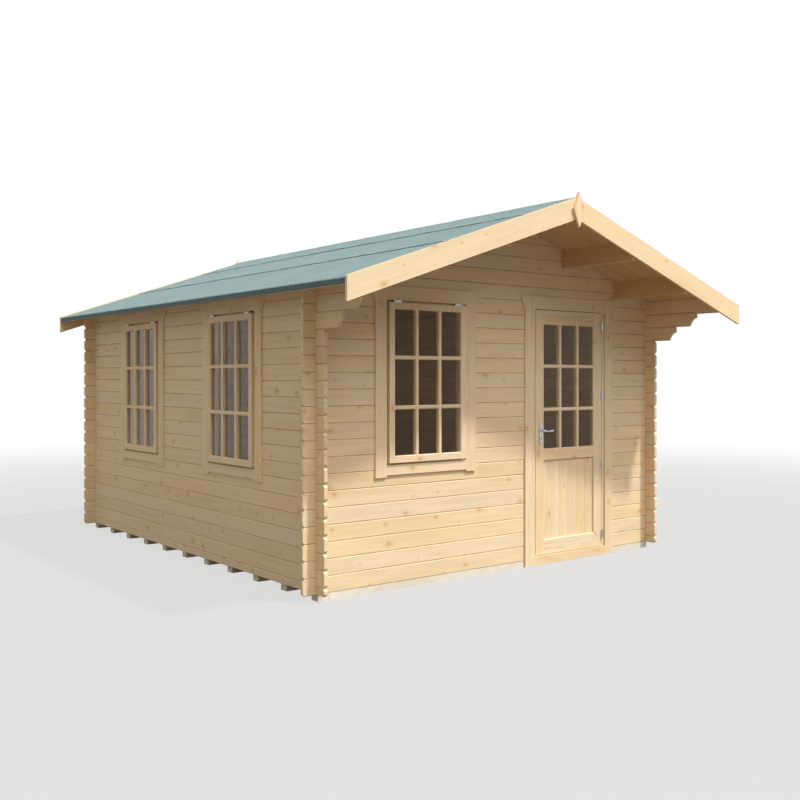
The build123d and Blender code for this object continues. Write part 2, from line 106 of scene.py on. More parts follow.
class Graph:
    """Adds nodes to a tree and wires their inputs as they are made."""

    def __init__(self, tree):
        self.tree = tree
        self.nodes = tree.nodes

    def feed(self, socket, value):
        """Links another node's output to a socket, or sets the socket's own value."""
        if isinstance(value, bpy.types.NodeSocket):
            self.tree.links.new(value, socket)
        else:
            socket.default_value = value

    def add(self, kind, inputs=None, **settings):
        """Makes a node, with its inputs given by name or number."""
        node = self.nodes.new(kind)
        for name, value in settings.items():
            setattr(node, name, value)
        for key, value in (inputs or {}).items():
            self.feed(node.inputs[key], value)
        return node

    def math(self, operation, *values):
        return self.add("ShaderNodeMath", dict(enumerate(values)), operation=operation).outputs[0]

    def vector(self, x, y, z):
        return self.add("ShaderNodeCombineXYZ", {0: x, 1: y, 2: z}).outputs[0]

    def split(self, vector):
        return self.add("ShaderNodeSeparateXYZ", {0: vector}).outputs

    def stretch(self, parts, scales):
        """A place whose X, Y and Z are scaled one by one, where the scale isn't 1."""
        scaled = []
        for part, scale in zip(parts, scales):
            scaled.append(part if scale == 1 else self.math("MULTIPLY", part, scale))
        return self.vector(*scaled)

    def count(self, value, start, step):
        """How many whole steps a value lies beyond a start."""
        return self.math("FLOOR", self.math("DIVIDE", self.math("SUBTRACT", value, start), step))

    def noise(self, vector, scale=1.0, detail=2.0):
        inputs = {"Vector": vector, "Scale": scale, "Detail": detail}
        return self.add("ShaderNodeTexNoise", inputs).outputs[0]

    def ramp(self, value, low, high, to_low=0.0, to_high=1.0):
        """A smooth step between two values."""
        inputs = {"Value": value, "From Min": low, "From Max": high, "To Min": to_low, "To Max": to_high}
        return self.add("ShaderNodeMapRange", inputs, interpolation_type="SMOOTHSTEP").outputs[0]

    def line(self, value, to_low, to_high):
        """A plain scale from 0..1 to another span."""
        return self.math("MULTIPLY_ADD", value, to_high - to_low, to_low)

    def mix(self, factor, first, second):
        """A colour between two others."""
        return self.add("ShaderNodeMix", {0: factor, 6: first, 7: second}, data_type="RGBA").outputs[2]

    def choose(self, factor, first, second):
        """A vector between two others."""
        return self.add("ShaderNodeMix", {0: factor, 4: first, 5: second}, data_type="VECTOR").outputs[1]


def rgba(colour):
    return (*colour, 1.0)


def group_tree(name, kind, inputs, outputs):
    """An empty node group with its sockets. Inputs are (name, socket type, default)."""
    tree = bpy.data.node_groups.new(name, kind)
    for socket_name, socket_type, default in inputs:
        socket = tree.interface.new_socket(socket_name, in_out="INPUT", socket_type=socket_type)
        if default is not None:
            socket.default_value = default
    for socket_name, socket_type in outputs:
        tree.interface.new_socket(socket_name, in_out="OUTPUT", socket_type=socket_type)
    return tree


def pine_group():
    """Pine in the solid: growth rings about a wandering pith, knots that they bend round, and fine fibres.

    Place runs along the grain in X, across the board in Y and through it in Z. Board is any number that tells
    one board from the next.
    """
    known = bpy.data.node_groups.get("Pine")
    if known:
        return known
    tree = group_tree(
        "Pine",
        "ShaderNodeTree",
        [
            ("Place", "NodeSocketVector", None),
            ("Board", "NodeSocketFloat", 0.0),
            ("Early wood", "NodeSocketColor", None),
            ("Late wood", "NodeSocketColor", None),
            ("Knot", "NodeSocketColor", None),
            ("Knottiness", "NodeSocketFloat", 0.5),
            ("Figure", "NodeSocketFloat", 0.5),
        ],
        [("Color", "NodeSocketColor"), ("Height", "NodeSocketFloat"), ("Roughness", "NodeSocketFloat")],
    )
    g = Graph(tree)
    given = g.add("NodeGroupInput").outputs
    luck = g.add("ShaderNodeTexWhiteNoise", {"W": given["Board"]}, noise_dimensions="1D").outputs
    draw = g.split(luck["Color"])
    along, across, through = g.split(given["Place"])
    along = g.math("MULTIPLY_ADD", luck["Value"], 37.0, along)

    drift = g.noise(g.vector(g.math("MULTIPLY", along, 0.9), given["Board"], 0.0))
    off_centre = g.math("ADD", g.line(draw[0], -0.05, 0.05), g.line(drift, -0.05, 0.05))
    u = g.math("SUBTRACT", across, off_centre)
    w = g.math("ADD", through, g.line(draw[1], 0.02, 0.07))
    ripple_place = g.stretch((along, across, through), (1.8, 16.0, 16.0))
    ripple = g.noise(ripple_place, detail=3.0)
    radius = g.math("SQRT", g.math("ADD", g.math("MULTIPLY", u, u), g.math("MULTIPLY", w, w)))
    radius = g.math("ADD", radius, g.line(ripple, -0.006, 0.006))

    knot_across = g.math("MULTIPLY_ADD", across, 7.5, g.math("MULTIPLY", given["Board"], 3.7))
    knot_place = g.vector(g.math("MULTIPLY", along, 4.4), knot_across, 0.0)
    inputs = {"Vector": knot_place, "Scale": 1.0, "Randomness": 0.9}
    cell = g.add("ShaderNodeTexVoronoi", inputs, voronoi_dimensions="2D").outputs
    chance = g.split(cell["Color"])
    there = g.math("LESS_THAN", chance[0], given["Knottiness"])
    size = g.line(g.math("POWER", chance[1], 2.5), 0.02, 0.085)
    reach = g.math("DIVIDE", cell["Distance"], size)
    reach = g.math("ADD", reach, g.line(g.noise(ripple_place, scale=7.0), -0.35, 0.35))
    core = g.math("MULTIPLY", there, g.ramp(reach, 1.0, 0.6))
    rim = g.math("MULTIPLY", there, g.math("SUBTRACT", g.ramp(reach, 1.25, 0.95), g.ramp(reach, 0.9, 0.6)))
    halo = g.math("MULTIPLY", there, g.ramp(reach, 4.0, 0.8))
    radius = g.math("MULTIPLY_ADD", g.math("MULTIPLY", halo, halo), 0.012, radius)

    phase = g.math("FRACT", g.math("DIVIDE", radius, RING_WIDTH))
    late = g.math("MULTIPLY", g.ramp(phase, 0.35, 0.9), g.ramp(phase, 1.0, 0.93))
    fibre = g.noise(g.stretch((along, across, through), (9.0, 420.0, 420.0)))
    cloud = g.noise(g.stretch((along, across, through), (0.9, 6.0, 1)), detail=3.0)
    streak = g.noise(g.stretch((along, across, through), (2.2, 34.0, 1)), detail=3.0)

    wood = g.mix(g.math("MULTIPLY", late, given["Figure"]), given["Early wood"], given["Late wood"])
    wood = g.mix(g.math("MULTIPLY", g.ramp(cloud, 0.42, 0.7), 0.3), wood, given["Late wood"])
    shade = g.math("ADD", g.line(fibre, -0.05, 0.05), g.line(draw[2], -0.035, 0.025))
    shade = g.math("ADD", shade, g.line(streak, -0.115, 0.115))
    strength = g.line(draw[0], 0.93, 1.08)
    inputs = {"Hue": 0.5, "Saturation": strength, "Value": g.math("ADD", shade, 1.0), "Color": wood}
    wood = g.add("ShaderNodeHueSaturation", inputs).outputs[0]
    glow = g.mix(0.35, given["Late wood"], given["Knot"])
    wood = g.mix(g.math("MULTIPLY", halo, 0.5), wood, glow)
    wood = g.mix(g.math("MULTIPLY", core, 0.6), wood, given["Knot"])
    wood = g.mix(g.math("MULTIPLY", rim, 0.35), wood, given["Knot"])

    height = g.math("ADD", g.math("MULTIPLY", late, 0.4), g.math("MULTIPLY", fibre, 0.5))
    height = g.math("SUBTRACT", height, g.math("MULTIPLY", core, 0.4))
    roughness = g.math("SUBTRACT", g.line(fibre, 0.55, 0.72), g.math("MULTIPLY", core, 0.15))
    g.add("NodeGroupOutput", {"Color": wood, "Height": height, "Roughness": roughness})
    return tree


def new_material(name):
    """A material with an empty tree, its graph and its output node."""
    made = bpy.data.materials.new(name)
    made.use_nodes = True
    made.node_tree.nodes.clear()
    g = Graph(made.node_tree)
    return made, g, g.add("ShaderNodeOutputMaterial")


def object_place(g):
    """X, Y and Z in the row frame, which is a resting piece's own frame."""
    return g.split(g.add("ShaderNodeTexCoord").outputs["Object"])


def pine(name, lay, tone=None, figure=0.5, knottiness=None, joints=None):
    """A pine finish. Lay is a function that turns X, Y and Z into the grain's place and the board's number.

    Joints is the height of one joint between logs: the bevel over each is painted darker, a painted shade for
    the shade that falls in the joint.
    """
    wood = bpy.context.scene.cabin_wood
    made, g, output = new_material(name)
    x, y, z = object_place(g)
    place, board = lay(g, x, y, z)
    early = tone or tuple(wood.early)
    late = [shade * part for shade, part in zip(early, wood.late_share)]
    inputs = {
        "Place": place,
        "Board": board,
        "Early wood": rgba(early),
        "Late wood": rgba(late),
        "Knot": rgba(wood.knot),
        "Knottiness": wood.knottiness if knottiness is None else knottiness,
        "Figure": figure,
    }
    timber = g.add("ShaderNodeGroup", inputs, node_tree=pine_group())
    colour = timber.outputs["Color"]
    # Painted shade: the lower bevel of each log, just over a joint, is painted darker in broken runs
    if joints is not None:
        rise = g.math("FRACT", g.math("DIVIDE", g.math("SUBTRACT", z, joints), LOG_PITCH))
        bevel = LOG_BEVEL / LOG_PITCH
        near = g.ramp(rise, 0.7 * bevel, 1.1 * bevel, 1.0, 0.0)
        run = g.noise(g.stretch((x, y, z), (5.0, 5.0, 1)), detail=4.0)
        share = g.math("MULTIPLY", near, g.ramp(run, 0.35, 0.6, 0.2, 0.62))
        painted_joint_shade = (0.32, 0.15, 0.06)
        colour = g.mix(share, colour, rgba(painted_joint_shade))
    inputs = {"Height": timber.outputs["Height"], "Distance": GRAIN_DEPTH, "Strength": 1.0}
    grain = g.add("ShaderNodeBump", inputs)
    shader = g.add(
        "ShaderNodeBsdfPrincipled",
        {
            "Base Color": colour,
            "Roughness": timber.outputs["Roughness"],
            "Normal": grain.outputs[0],
            "Specular IOR Level": 0.3,
        },
    )
    g.feed(output.inputs["Surface"], shader.outputs[0])
    return made


# How the grain lies in each kind of piece

def grain_across(wall_y, offset):
    """Logs that run across the cabin, one board number a row."""
    def lay(g, x, y, z):
        row = g.count(z, LOGS_START, LOG_PITCH)
        return g.vector(x, z, g.math("SUBTRACT", y, wall_y)), g.math("ADD", row, offset)
    return lay


def grain_back(wall_x, offset):
    """Logs that run from front to back, half a log out of step."""
    def lay(g, x, y, z):
        row = g.count(z, LOGS_START - LOG_PITCH / 2, LOG_PITCH)
        return g.vector(y, z, g.math("SUBTRACT", x, wall_x)), g.math("ADD", row, offset)
    return lay


def grain_bearers(g, x, y, z):
    return g.vector(x, y, z), g.math("FLOOR", g.math("MULTIPLY", y, 2.4))


def grain_purlins(g, x, y, z):
    return g.vector(y, z, x), g.math("FLOOR", g.math("MULTIPLY_ADD", x, 2.0, 0.5))


def grain_upright(start, board_width, offset):
    """Boards that stand side by side, the first of them from a starting place."""
    def lay(g, x, y, z):
        return g.vector(z, x, y), g.math("ADD", g.count(x, start, board_width), offset)
    return lay


def grain_floor(start, board_width, offset):
    """Boards that run from front to back, the first of them from a starting place."""
    def lay(g, x, y, z):
        return g.vector(y, x, z), g.math("ADD", g.count(x, start, board_width), offset)
    return lay


def down_slope(g, x, z):
    """Distances down the roof's slope and square to it."""
    away = g.math("ABSOLUTE", x)
    along = g.math("MULTIPLY_ADD", away, cos(ROOF_ANGLE), g.math("MULTIPLY", z, -sin(ROOF_ANGLE)))
    across = g.math("MULTIPLY_ADD", away, sin(ROOF_ANGLE), g.math("MULTIPLY", z, cos(ROOF_ANGLE)))
    return along, across


def grain_verge(g, x, y, z):
    """The four boards that follow the gables' slopes."""
    along, across = down_slope(g, x, z)
    right = g.math("MULTIPLY", g.math("GREATER_THAN", x, 0.0), 3.0)
    back = g.math("MULTIPLY", g.math("GREATER_THAN", y, 0.0), 7.0)
    return g.vector(along, across, y), g.math("ADD", right, back)


def grain_roof_boards(board_width):
    """Boards that run from the ridge to the eaves, side by side."""
    def lay(g, x, y, z):
        along, across = down_slope(g, x, z)
        side = g.math("MULTIPLY", g.math("GREATER_THAN", x, 0.0), 90.0)
        return g.vector(along, y, across), g.math("ADD", g.count(y, ROOF_FRONT, board_width), side)
    return lay


def grain_eave(g, x, y, z):
    return g.vector(y, z, x), g.math("GREATER_THAN", x, 0.0)


def grain_framed(wall, middle, upright_from, waist, offset):
    """Uprights beyond a distance from the middle of a frame, and level rails between them."""
    def lay(g, x, y, z):
        u, depth = (x, y) if wall == "front" else (y, x)
        aside = g.math("SUBTRACT", u, middle)
        upright = g.math("GREATER_THAN", g.math("ABSOLUTE", aside), upright_from)
        place = g.choose(upright, g.vector(u, z, depth), g.vector(z, u, depth))
        post = g.math("MULTIPLY_ADD", g.math("SIGN", aside), 1.7, 3.1)
        rail = g.math("MULTIPLY_ADD", g.math("FLOOR", g.math("DIVIDE", z, waist)), 2.3, 8.1)
        board = g.add("ShaderNodeMix", {0: upright, 2: rail, 3: post}, data_type="FLOAT").outputs[0]
        return place, g.math("ADD", board, offset)
    return lay


def grain_bars(wall, middle, pitch, bar_width, offset):
    """A sash's glazing bars: uprights at half a pitch each side of the middle, level bars between."""
    def lay(g, x, y, z):
        u, depth = (x, y) if wall == "front" else (y, x)
        aside = g.math("ABSOLUTE", g.math("SUBTRACT", u, middle))
        near = g.math("ABSOLUTE", g.math("SUBTRACT", aside, pitch / 2))
        upright = g.math("LESS_THAN", near, bar_width / 2)
        return g.choose(upright, g.vector(u, z, depth), g.vector(z, u, depth)), g.math("ADD", upright, offset)
    return lay


def dress(material, *nodes):
    """Gives CAD nodes a finish."""
    for name in nodes:
        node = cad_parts[name]
        if not node.material_slots:
            node.data.materials.append(material)
        for slot in node.material_slots:
            slot.material = material


def metal_material():
    """Satin metal with a fine brushed line."""
    made, g, output = new_material("Satin metal")
    x, y, z = object_place(g)
    brushed = g.noise(g.stretch((x, y, z), (900.0, 900.0, 1)), detail=1.0)
    haze = g.noise(g.vector(x, y, z), scale=40.0)
    colour = g.mix(g.ramp(haze, 0.35, 0.7), (0.42, 0.44, 0.475, 1.0), (0.53, 0.55, 0.59, 1.0))
    polish = g.math("ADD", g.line(brushed, 0.2, 0.32), g.line(haze, -0.04, 0.04))
    line = g.add("ShaderNodeBump", {"Height": brushed, "Distance": 0.00004})
    inputs = {"Base Color": colour, "Metallic": 1.0, "Roughness": polish, "Normal": line.outputs[0]}
    g.feed(output.inputs["Surface"], g.add("ShaderNodeBsdfPrincipled", inputs).outputs[0])
    return made


def lock_material():
    """The lock cylinder's darker metal, with a keyway's faint scratches."""
    made, g, output = new_material("Lock")
    x, _, z = object_place(g)
    scratch = g.noise(g.stretch((x, 0.0, z), (2600.0, 1, 160.0)))
    colour = g.mix(scratch, (0.16, 0.155, 0.15, 1.0), (0.3, 0.29, 0.27, 1.0))
    inputs = {"Base Color": colour, "Metallic": 1.0, "Roughness": g.line(scratch, 0.3, 0.45)}
    g.feed(output.inputs["Surface"], g.add("ShaderNodeBsdfPrincipled", inputs).outputs[0])
    return made


def glass_material():
    """Clear float glass with its faint draw lines."""
    made, g, output = new_material("Window glass")
    x, y, z = object_place(g)
    drawn = g.noise(g.stretch((x, y, z), (3.0, 3.0, 1.2)))
    wave = g.add("ShaderNodeBump", {"Height": drawn, "Distance": 0.0008})
    tinge = g.mix(g.ramp(drawn, 0.3, 0.7), (0.86, 0.81, 0.72, 1.0), (0.9, 0.86, 0.78, 1.0))
    inputs = {
        "Base Color": tinge,
        "Roughness": 0.0,
        "IOR": 1.33,
        "Transmission Weight": 1.0,
        "Specular Tint": (0.45, 0.42, 0.36, 1.0),
        "Normal": wave.outputs[0],
    }
    pane = g.add("ShaderNodeBsdfPrincipled", inputs)
    clear = g.add("ShaderNodeBsdfTransparent", {"Color": (0.85, 0.85, 0.85, 1.0)})
    shadow = g.add("ShaderNodeLightPath").outputs["Is Shadow Ray"]
    lit = g.add("ShaderNodeMixShader", {0: shadow, 1: pane.outputs[0], 2: clear.outputs[0]})
    g.feed(output.inputs["Surface"], lit.outputs[0])
    return made


def felt_material():
    """Mineral felt: coloured granules pressed into a dark sheet, rubbed thinner along the slope."""
    roof = bpy.context.scene.cabin_roof
    made, g, output = new_material("Mineral felt")
    x, y, z = object_place(g)
    place = g.vector(x, y, z)
    grain = g.add("ShaderNodeTexVoronoi", {"Vector": place, "Scale": 420.0}).outputs
    speck = g.split(grain["Color"])
    patch = g.noise(place, scale=2.3, detail=4.0)
    along, _ = down_slope(g, x, z)
    streak = g.noise(g.stretch((along, y, 0.0), (1.5, 22.0, 1)), detail=3.0)
    stone = g.mix(g.ramp(speck[0], 0.1, 0.9), rgba(roof.felt_dark), rgba(roof.felt_pale))
    stone = g.mix(g.math("GREATER_THAN", speck[1], 0.93), stone, (0.62, 0.66, 0.66, 1.0))
    mottle = g.noise(place, scale=55.0, detail=3.0)
    tone = g.math("ADD", g.line(patch, 0.88, 1.12), g.line(streak, -0.1, 0.1))
    tone = g.math("ADD", tone, g.line(mottle, -0.3, 0.3))
    fold = g.ramp(g.math("ABSOLUTE", x), FELT_REACH - 0.012, FELT_REACH - 0.002, 1.0, 0.6)
    tone = g.math("MULTIPLY", tone, fold)
    inputs = {"Hue": 0.5, "Saturation": 1.0, "Value": tone, "Color": stone}
    stone = g.add("ShaderNodeHueSaturation", inputs).outputs[0]
    bump = g.add("ShaderNodeBump", {"Height": grain["Distance"], "Distance": 0.0012, "Strength": 0.8})
    inputs = {
        "Base Color": stone,
        "Roughness": g.line(speck[2], 0.78, 0.95),
        "Normal": bump.outputs[0],
        "Specular IOR Level": 0.35,
    }
    g.feed(output.inputs["Surface"], g.add("ShaderNodeBsdfPrincipled", inputs).outputs[0])
    return made


def once(name, make):
    """A material by its name, made the first time it is asked for."""
    return bpy.data.materials.get(name) or make()


def finish_piece(bm, name, material, body, smooth=False):
    """Turns a bmesh of closed shapes into a piece that rides on a body."""
    bmesh.ops.remove_doubles(bm, verts=bm.verts, dist=1e-6)
    bmesh.ops.recalc_face_normals(bm, faces=bm.faces)
    for face in bm.faces:
        face.smooth = smooth
    mesh = bpy.data.meshes.new(name)
    bm.to_mesh(mesh)
    bm.free()
    mesh.materials.append(material)
    piece = bpy.data.objects.new(name, mesh)
    bpy.context.scene.collection.objects.link(piece)
    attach(piece, body)
    return piece


# Boards side by side, by Geometry Nodes

def board_row_tree():
    """A row of boards with bevelled edges: each runs along X, and they follow each other along Y."""
    known = bpy.data.node_groups.get("Board row")
    if known:
        return known
    tree = group_tree(
        "Board row",
        "GeometryNodeTree",
        [
            ("Geometry", "NodeSocketGeometry", None),
            ("Length", "NodeSocketFloat", 1.0),
            ("Cover", "NodeSocketFloat", 0.1),
            ("Thickness", "NodeSocketFloat", 0.019),
            ("Groove", "NodeSocketFloat", 0.003),
            ("Slope", "NodeSocketFloat", 0.0),
            ("Count", "NodeSocketInt", 10),
            ("Finish", "NodeSocketMaterial", None),
        ],
        [("Geometry", "NodeSocketGeometry")],
    )
    g = Graph(tree)
    given = g.add("NodeGroupInput").outputs
    width = g.math("SUBTRACT", given["Cover"], BOARD_GAP)
    inputs = {"Width": width, "Height": given["Thickness"]}
    section = g.add("GeometryNodeCurvePrimitiveQuadrilateral", inputs, mode="RECTANGLE")
    inputs = {"Curve": section.outputs[0], "Radius": given["Groove"]}
    bevelled = g.add("GeometryNodeFilletCurve", inputs, mode="POLY")
    line = g.add("GeometryNodeCurvePrimitiveLine", {"End": g.vector(given["Length"], 0.0, 0.0)})
    board = g.add(
        "GeometryNodeCurveToMesh",
        {"Curve": line.outputs[0], "Profile Curve": bevelled.outputs[0], "Fill Caps": True},
    )
    pitch = g.vector(0.0, given["Cover"], 0.0)
    row = g.add("GeometryNodeMeshLine", {"Count": given["Count"], "Offset": pitch})
    laid = g.add("GeometryNodeInstanceOnPoints", {"Points": row.outputs[0], "Instance": board.outputs[0]})
    real = g.add("GeometryNodeRealizeInstances", {"Geometry": laid.outputs[0]})
    where = g.split(g.add("GeometryNodeInputPosition").outputs[0])
    fall = g.math("MULTIPLY", g.math("MULTIPLY", where[0], given["Slope"]), -1.0)
    inputs = {"Geometry": real.outputs[0], "Offset": g.vector(0.0, 0.0, fall)}
    sheared = g.add("GeometryNodeSetPosition", inputs)
    finished = g.add("GeometryNodeSetMaterial", {"Geometry": sheared.outputs[0], "Material": given["Finish"]})
    g.add("NodeGroupOutput", {"Geometry": finished.outputs[0]})
    return tree


def fixings_tree():
    """A round head on each point of a mesh, all facing one way."""
    known = bpy.data.node_groups.get("Fixings")
    if known:
        return known
    tree = group_tree(
        "Fixings",
        "GeometryNodeTree",
        [
            ("Geometry", "NodeSocketGeometry", None),
            ("Radius", "NodeSocketFloat", 0.004),
            ("Height", "NodeSocketFloat", 0.001),
            ("Facing", "NodeSocketVector", None),
            ("Finish", "NodeSocketMaterial", None),
        ],
        [("Geometry", "NodeSocketGeometry")],
    )
    g = Graph(tree)
    given = g.add("NodeGroupInput").outputs
    head = g.add(
        "GeometryNodeMeshCone",
        {
            "Vertices": 14,
            "Radius Top": g.math("MULTIPLY", given["Radius"], 0.7),
            "Radius Bottom": given["Radius"],
            "Depth": given["Height"],
        },
    )
    turned = g.add("FunctionNodeAlignRotationToVector", {"Vector": given["Facing"]}, axis="Z")
    laid = g.add(
        "GeometryNodeInstanceOnPoints",
        {"Points": given["Geometry"], "Instance": head.outputs[0], "Rotation": turned.outputs[0]},
    )
    real = g.add("GeometryNodeRealizeInstances", {"Geometry": laid.outputs[0]})
    finished = g.add("GeometryNodeSetMaterial", {"Geometry": real.outputs[0], "Material": given["Finish"]})
    g.add("NodeGroupOutput", {"Geometry": finished.outputs[0]})
    return tree


def plain_mesh(name, tree, values, points=()):
    """Runs a Geometry Nodes tree on loose points, and returns the result as a plain mesh."""
    carrier = bpy.data.objects.new(name + "_nodes", bpy.data.meshes.new(name + "_nodes"))
    carrier.data.from_pydata(points, [], [])
    bpy.context.scene.collection.objects.link(carrier)
    modifier = carrier.modifiers.new("Nodes", "NODES")
    modifier.node_group = tree
    sockets = {item.name: item.identifier for item in tree.interface.items_tree if item.in_out == "INPUT"}
    for key, value in values.items():
        modifier[sockets[key]] = value
    carrier.update_tag()
    bpy.context.view_layer.update()
    depsgraph = bpy.context.evaluated_depsgraph_get()
    mesh = bpy.data.meshes.new_from_object(carrier.evaluated_get(depsgraph))
    mesh.name = name
    carrier.modifiers.remove(modifier)
    bpy.data.objects.remove(carrier)
    return mesh


def board_row(name, material, body, slot_name, place, **values):
    """A row of boards as a finished piece. Place is the matrix that carries the row to its seat."""
    mesh = plain_mesh(name, board_row_tree(), {**values, "Finish": material})
    bm = bmesh.new()
    bm.from_mesh(mesh)
    bpy.data.meshes.remove(mesh)
    bm.transform(place)
    return finish_piece(bm, name, material, body)


def fixings(name, material, body, rows, radius, height):
    """Nail or screw heads as a finished piece. Rows are (points, facing)."""
    bm = bmesh.new()
    for points, facing in rows:
        values = {"Radius": radius, "Height": height, "Facing": facing, "Finish": material}
        mesh = plain_mesh(name, fixings_tree(), values, points)
        bm.from_mesh(mesh)
        bpy.data.meshes.remove(mesh)
    return finish_piece(bm, name, material, body)


def add_sweep(bm, path, radii, sides=20):
    """A closed tube along points. Radii are its half-thickness and half-height at each point."""
    rings = []
    for index, (point, (thick, high)) in enumerate(zip(path, radii)):
        ahead = path[min(index + 1, len(path) - 1)] - path[max(index - 1, 0)]
        side = ahead.cross(Vector((0, 0, 1))).normalized()
        rise = side.cross(ahead).normalized()
        ring = []
        for count in range(sides):
            turn = 2 * pi * count / sides
            ring.append(bm.verts.new(point + side * thick * cos(turn) + rise * high * sin(turn)))
        rings.append(ring)
    for first, second in zip(rings, rings[1:]):
        for k in range(sides):
            bm.faces.new([first[k], first[k - 1], second[k - 1], second[k]])
    bm.faces.new(rings[0])
    bm.faces.new(rings[-1])


def add_box(bm, low, high):
    """A box between two corners."""
    xs, ys, zs = zip(low, high)
    points = [bm.verts.new((x, y, z)) for z in zs for y in ys for x in xs]
    for corners in ((0, 1, 3, 2), (4, 5, 7, 6), (0, 1, 5, 4), (2, 3, 7, 6), (0, 2, 6, 4), (1, 3, 7, 5)):
        bm.faces.new([points[corner] for corner in corners])


class WoodSettings(bpy.types.PropertyGroup):
    """The pine's colours."""

    early: bpy.props.FloatVectorProperty(
        name="Early wood", description="Pale wood between the rings", subtype="COLOR", size=3, min=0, max=1,
        default=(0.874, 0.684, 0.446),
    )
    late_share: bpy.props.FloatVectorProperty(
        name="Late wood share", description="The rings' colour, as a share of the pale wood's",
        subtype="COLOR", size=3, min=0, max=1, default=(0.86, 0.74, 0.6),
    )
    knot: bpy.props.FloatVectorProperty(
        name="Knot", description="Colour at the heart of a knot", subtype="COLOR", size=3, min=0, max=1,
        default=(0.66, 0.32, 0.08),
    )
    knottiness: bpy.props.FloatProperty(
        name="Knottiness", description="Share of the possible knots that are there", subtype="FACTOR", min=0,
        max=1, default=0.52,
    )


class RoofSettings(bpy.types.PropertyGroup):
    """Roof boards and felt."""

    board_cover: bpy.props.FloatProperty(
        name="Board cover", description="Width that one roof board covers", subtype="DISTANCE", unit="LENGTH",
        default=0.096,
    )
    board_groove: bpy.props.FloatProperty(
        name="Board groove", description="Bevel along each board's edges", subtype="DISTANCE", unit="LENGTH",
        default=0.003,
    )
    felt_pale: bpy.props.FloatVectorProperty(
        name="Pale granules", description="The felt's paler granules", subtype="COLOR", size=3, min=0, max=1,
        default=(0.205, 0.287, 0.288),
    )
    felt_dark: bpy.props.FloatVectorProperty(
        name="Dark granules", description="The felt's darker granules", subtype="COLOR", size=3, min=0, max=1,
        default=(0.09, 0.148, 0.155),
    )
    ripple: bpy.props.FloatProperty(
        name="Ripple", description="How far the felt lifts off its boards", subtype="DISTANCE", unit="LENGTH",
        default=0.003,
    )
    wander: bpy.props.FloatProperty(
        name="Lap wander", description="How far a lap's edge strays from a straight line", subtype="DISTANCE",
        unit="LENGTH", default=0.013,
    )


class GlazingSettings(bpy.types.PropertyGroup):
    """Glazing bars."""

    window_bar: bpy.props.FloatProperty(
        name="Window bar", description="Width of a window's glazing bar", subtype="DISTANCE", unit="LENGTH",
        default=0.028,
    )
    door_bar: bpy.props.FloatProperty(
        name="Door bar", description="Width of the door's glazing bar", subtype="DISTANCE", unit="LENGTH",
        default=0.0275,
    )
    door_pitch: bpy.props.FloatProperty(
        name="Door bar pitch", description="Between the door's level bars, set out from the head",
        subtype="DISTANCE", unit="LENGTH", default=0.348,
    )
    bevel: bpy.props.FloatProperty(
        name="Bevel", description="Bevel of the bars' edges, the same as the sash's", subtype="DISTANCE",
        unit="LENGTH", default=0.005,
    )
    panes: bpy.props.IntProperty(name="Panes", description="Panes across and up a sash", min=1, default=3)


class StageSettings(bpy.types.PropertyGroup):
    """Camera and light."""

    eye: bpy.props.FloatVectorProperty(
        name="Eye", description="The camera's place", subtype="TRANSLATION", unit="LENGTH", size=3,
        default=(-5.2369, -7.2276, 1.4974),
    )
    turn: bpy.props.FloatProperty(
        name="Turn", description="The camera's turn about the vertical", subtype="ANGLE", default=-0.6582,
    )
    focal: bpy.props.FloatProperty(
        name="Focal length", description="Focal length on a 36 mm sensor, in millimetres", default=43.58,
    )
    rise: bpy.props.FloatProperty(
        name="Rise", description="Lens shift that keeps the uprights upright", default=-0.0283,
    )
    sky: bpy.props.FloatProperty(
        name="Sky light", description="Strength of the light all round", default=0.32,
    )
    key: bpy.props.FloatProperty(
        name="Key light", description="Strength of the main lamp", default=3.2,
    )
    fill: bpy.props.FloatProperty(
        name="Fill light", description="Strength of the broad lamp in front", default=1.65,
    )
    top: bpy.props.FloatProperty(
        name="Top light", description="Strength of the broad lamp overhead", default=0.6,
    )
    top_colour: bpy.props.FloatVectorProperty(
        name="Top colour", description="Colour of the lamp overhead", subtype="COLOR", size=3, min=0, max=1,
        default=(1.0, 0.97, 0.75),
    )


def wall_of(window):
    return "front" if window == "front_window" else "left"


def wall_point(wall, u, out, z):
    """A point by its place along a wall, its distance out from the wall's face and its height."""
    if wall == "front":
        return (u, FRONT_FACE - out, z)
    return (-SIDE_FACE - out, u, z)


def wall_box(wall, node):
    """A node's box seen on its wall: its ends, its outer and inner faces' distances out, and its heights."""
    low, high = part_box(node)
    if wall == "front":
        return (low.x, high.x), (FRONT_FACE - low.y, FRONT_FACE - high.y), (low.z, high.z)
    return (low.y, high.y), (-SIDE_FACE - low.x, -SIDE_FACE - high.x), (low.z, high.z)


def daylight(wall, glass):
    """The clear opening in front of a pane: (left, right, foot, head) along its wall."""
    (left, right), _, (foot, head) = wall_box(wall, glass)
    return left + GLASS_BITE, right - GLASS_BITE, foot + GLASS_BITE, head - GLASS_BITE


def inside_lining(wall, frame_node):
    """Half the width between the uprights of a lining."""
    (start, end), _, _ = wall_box(wall, frame_node)
    return (end - start) / 2 - LINING_FACE


def edges_of(low, high, panes, bar, pitch=None):
    """The edges of panes and the bars between them, in order. A pitch sets the bars out from the high end."""
    pitch = pitch or (high - low + bar) / panes
    found = [low]
    for count in reversed(range(1, panes)):
        upper = high - count * pitch + bar
        found += [upper - bar, upper]
    return found + [high]


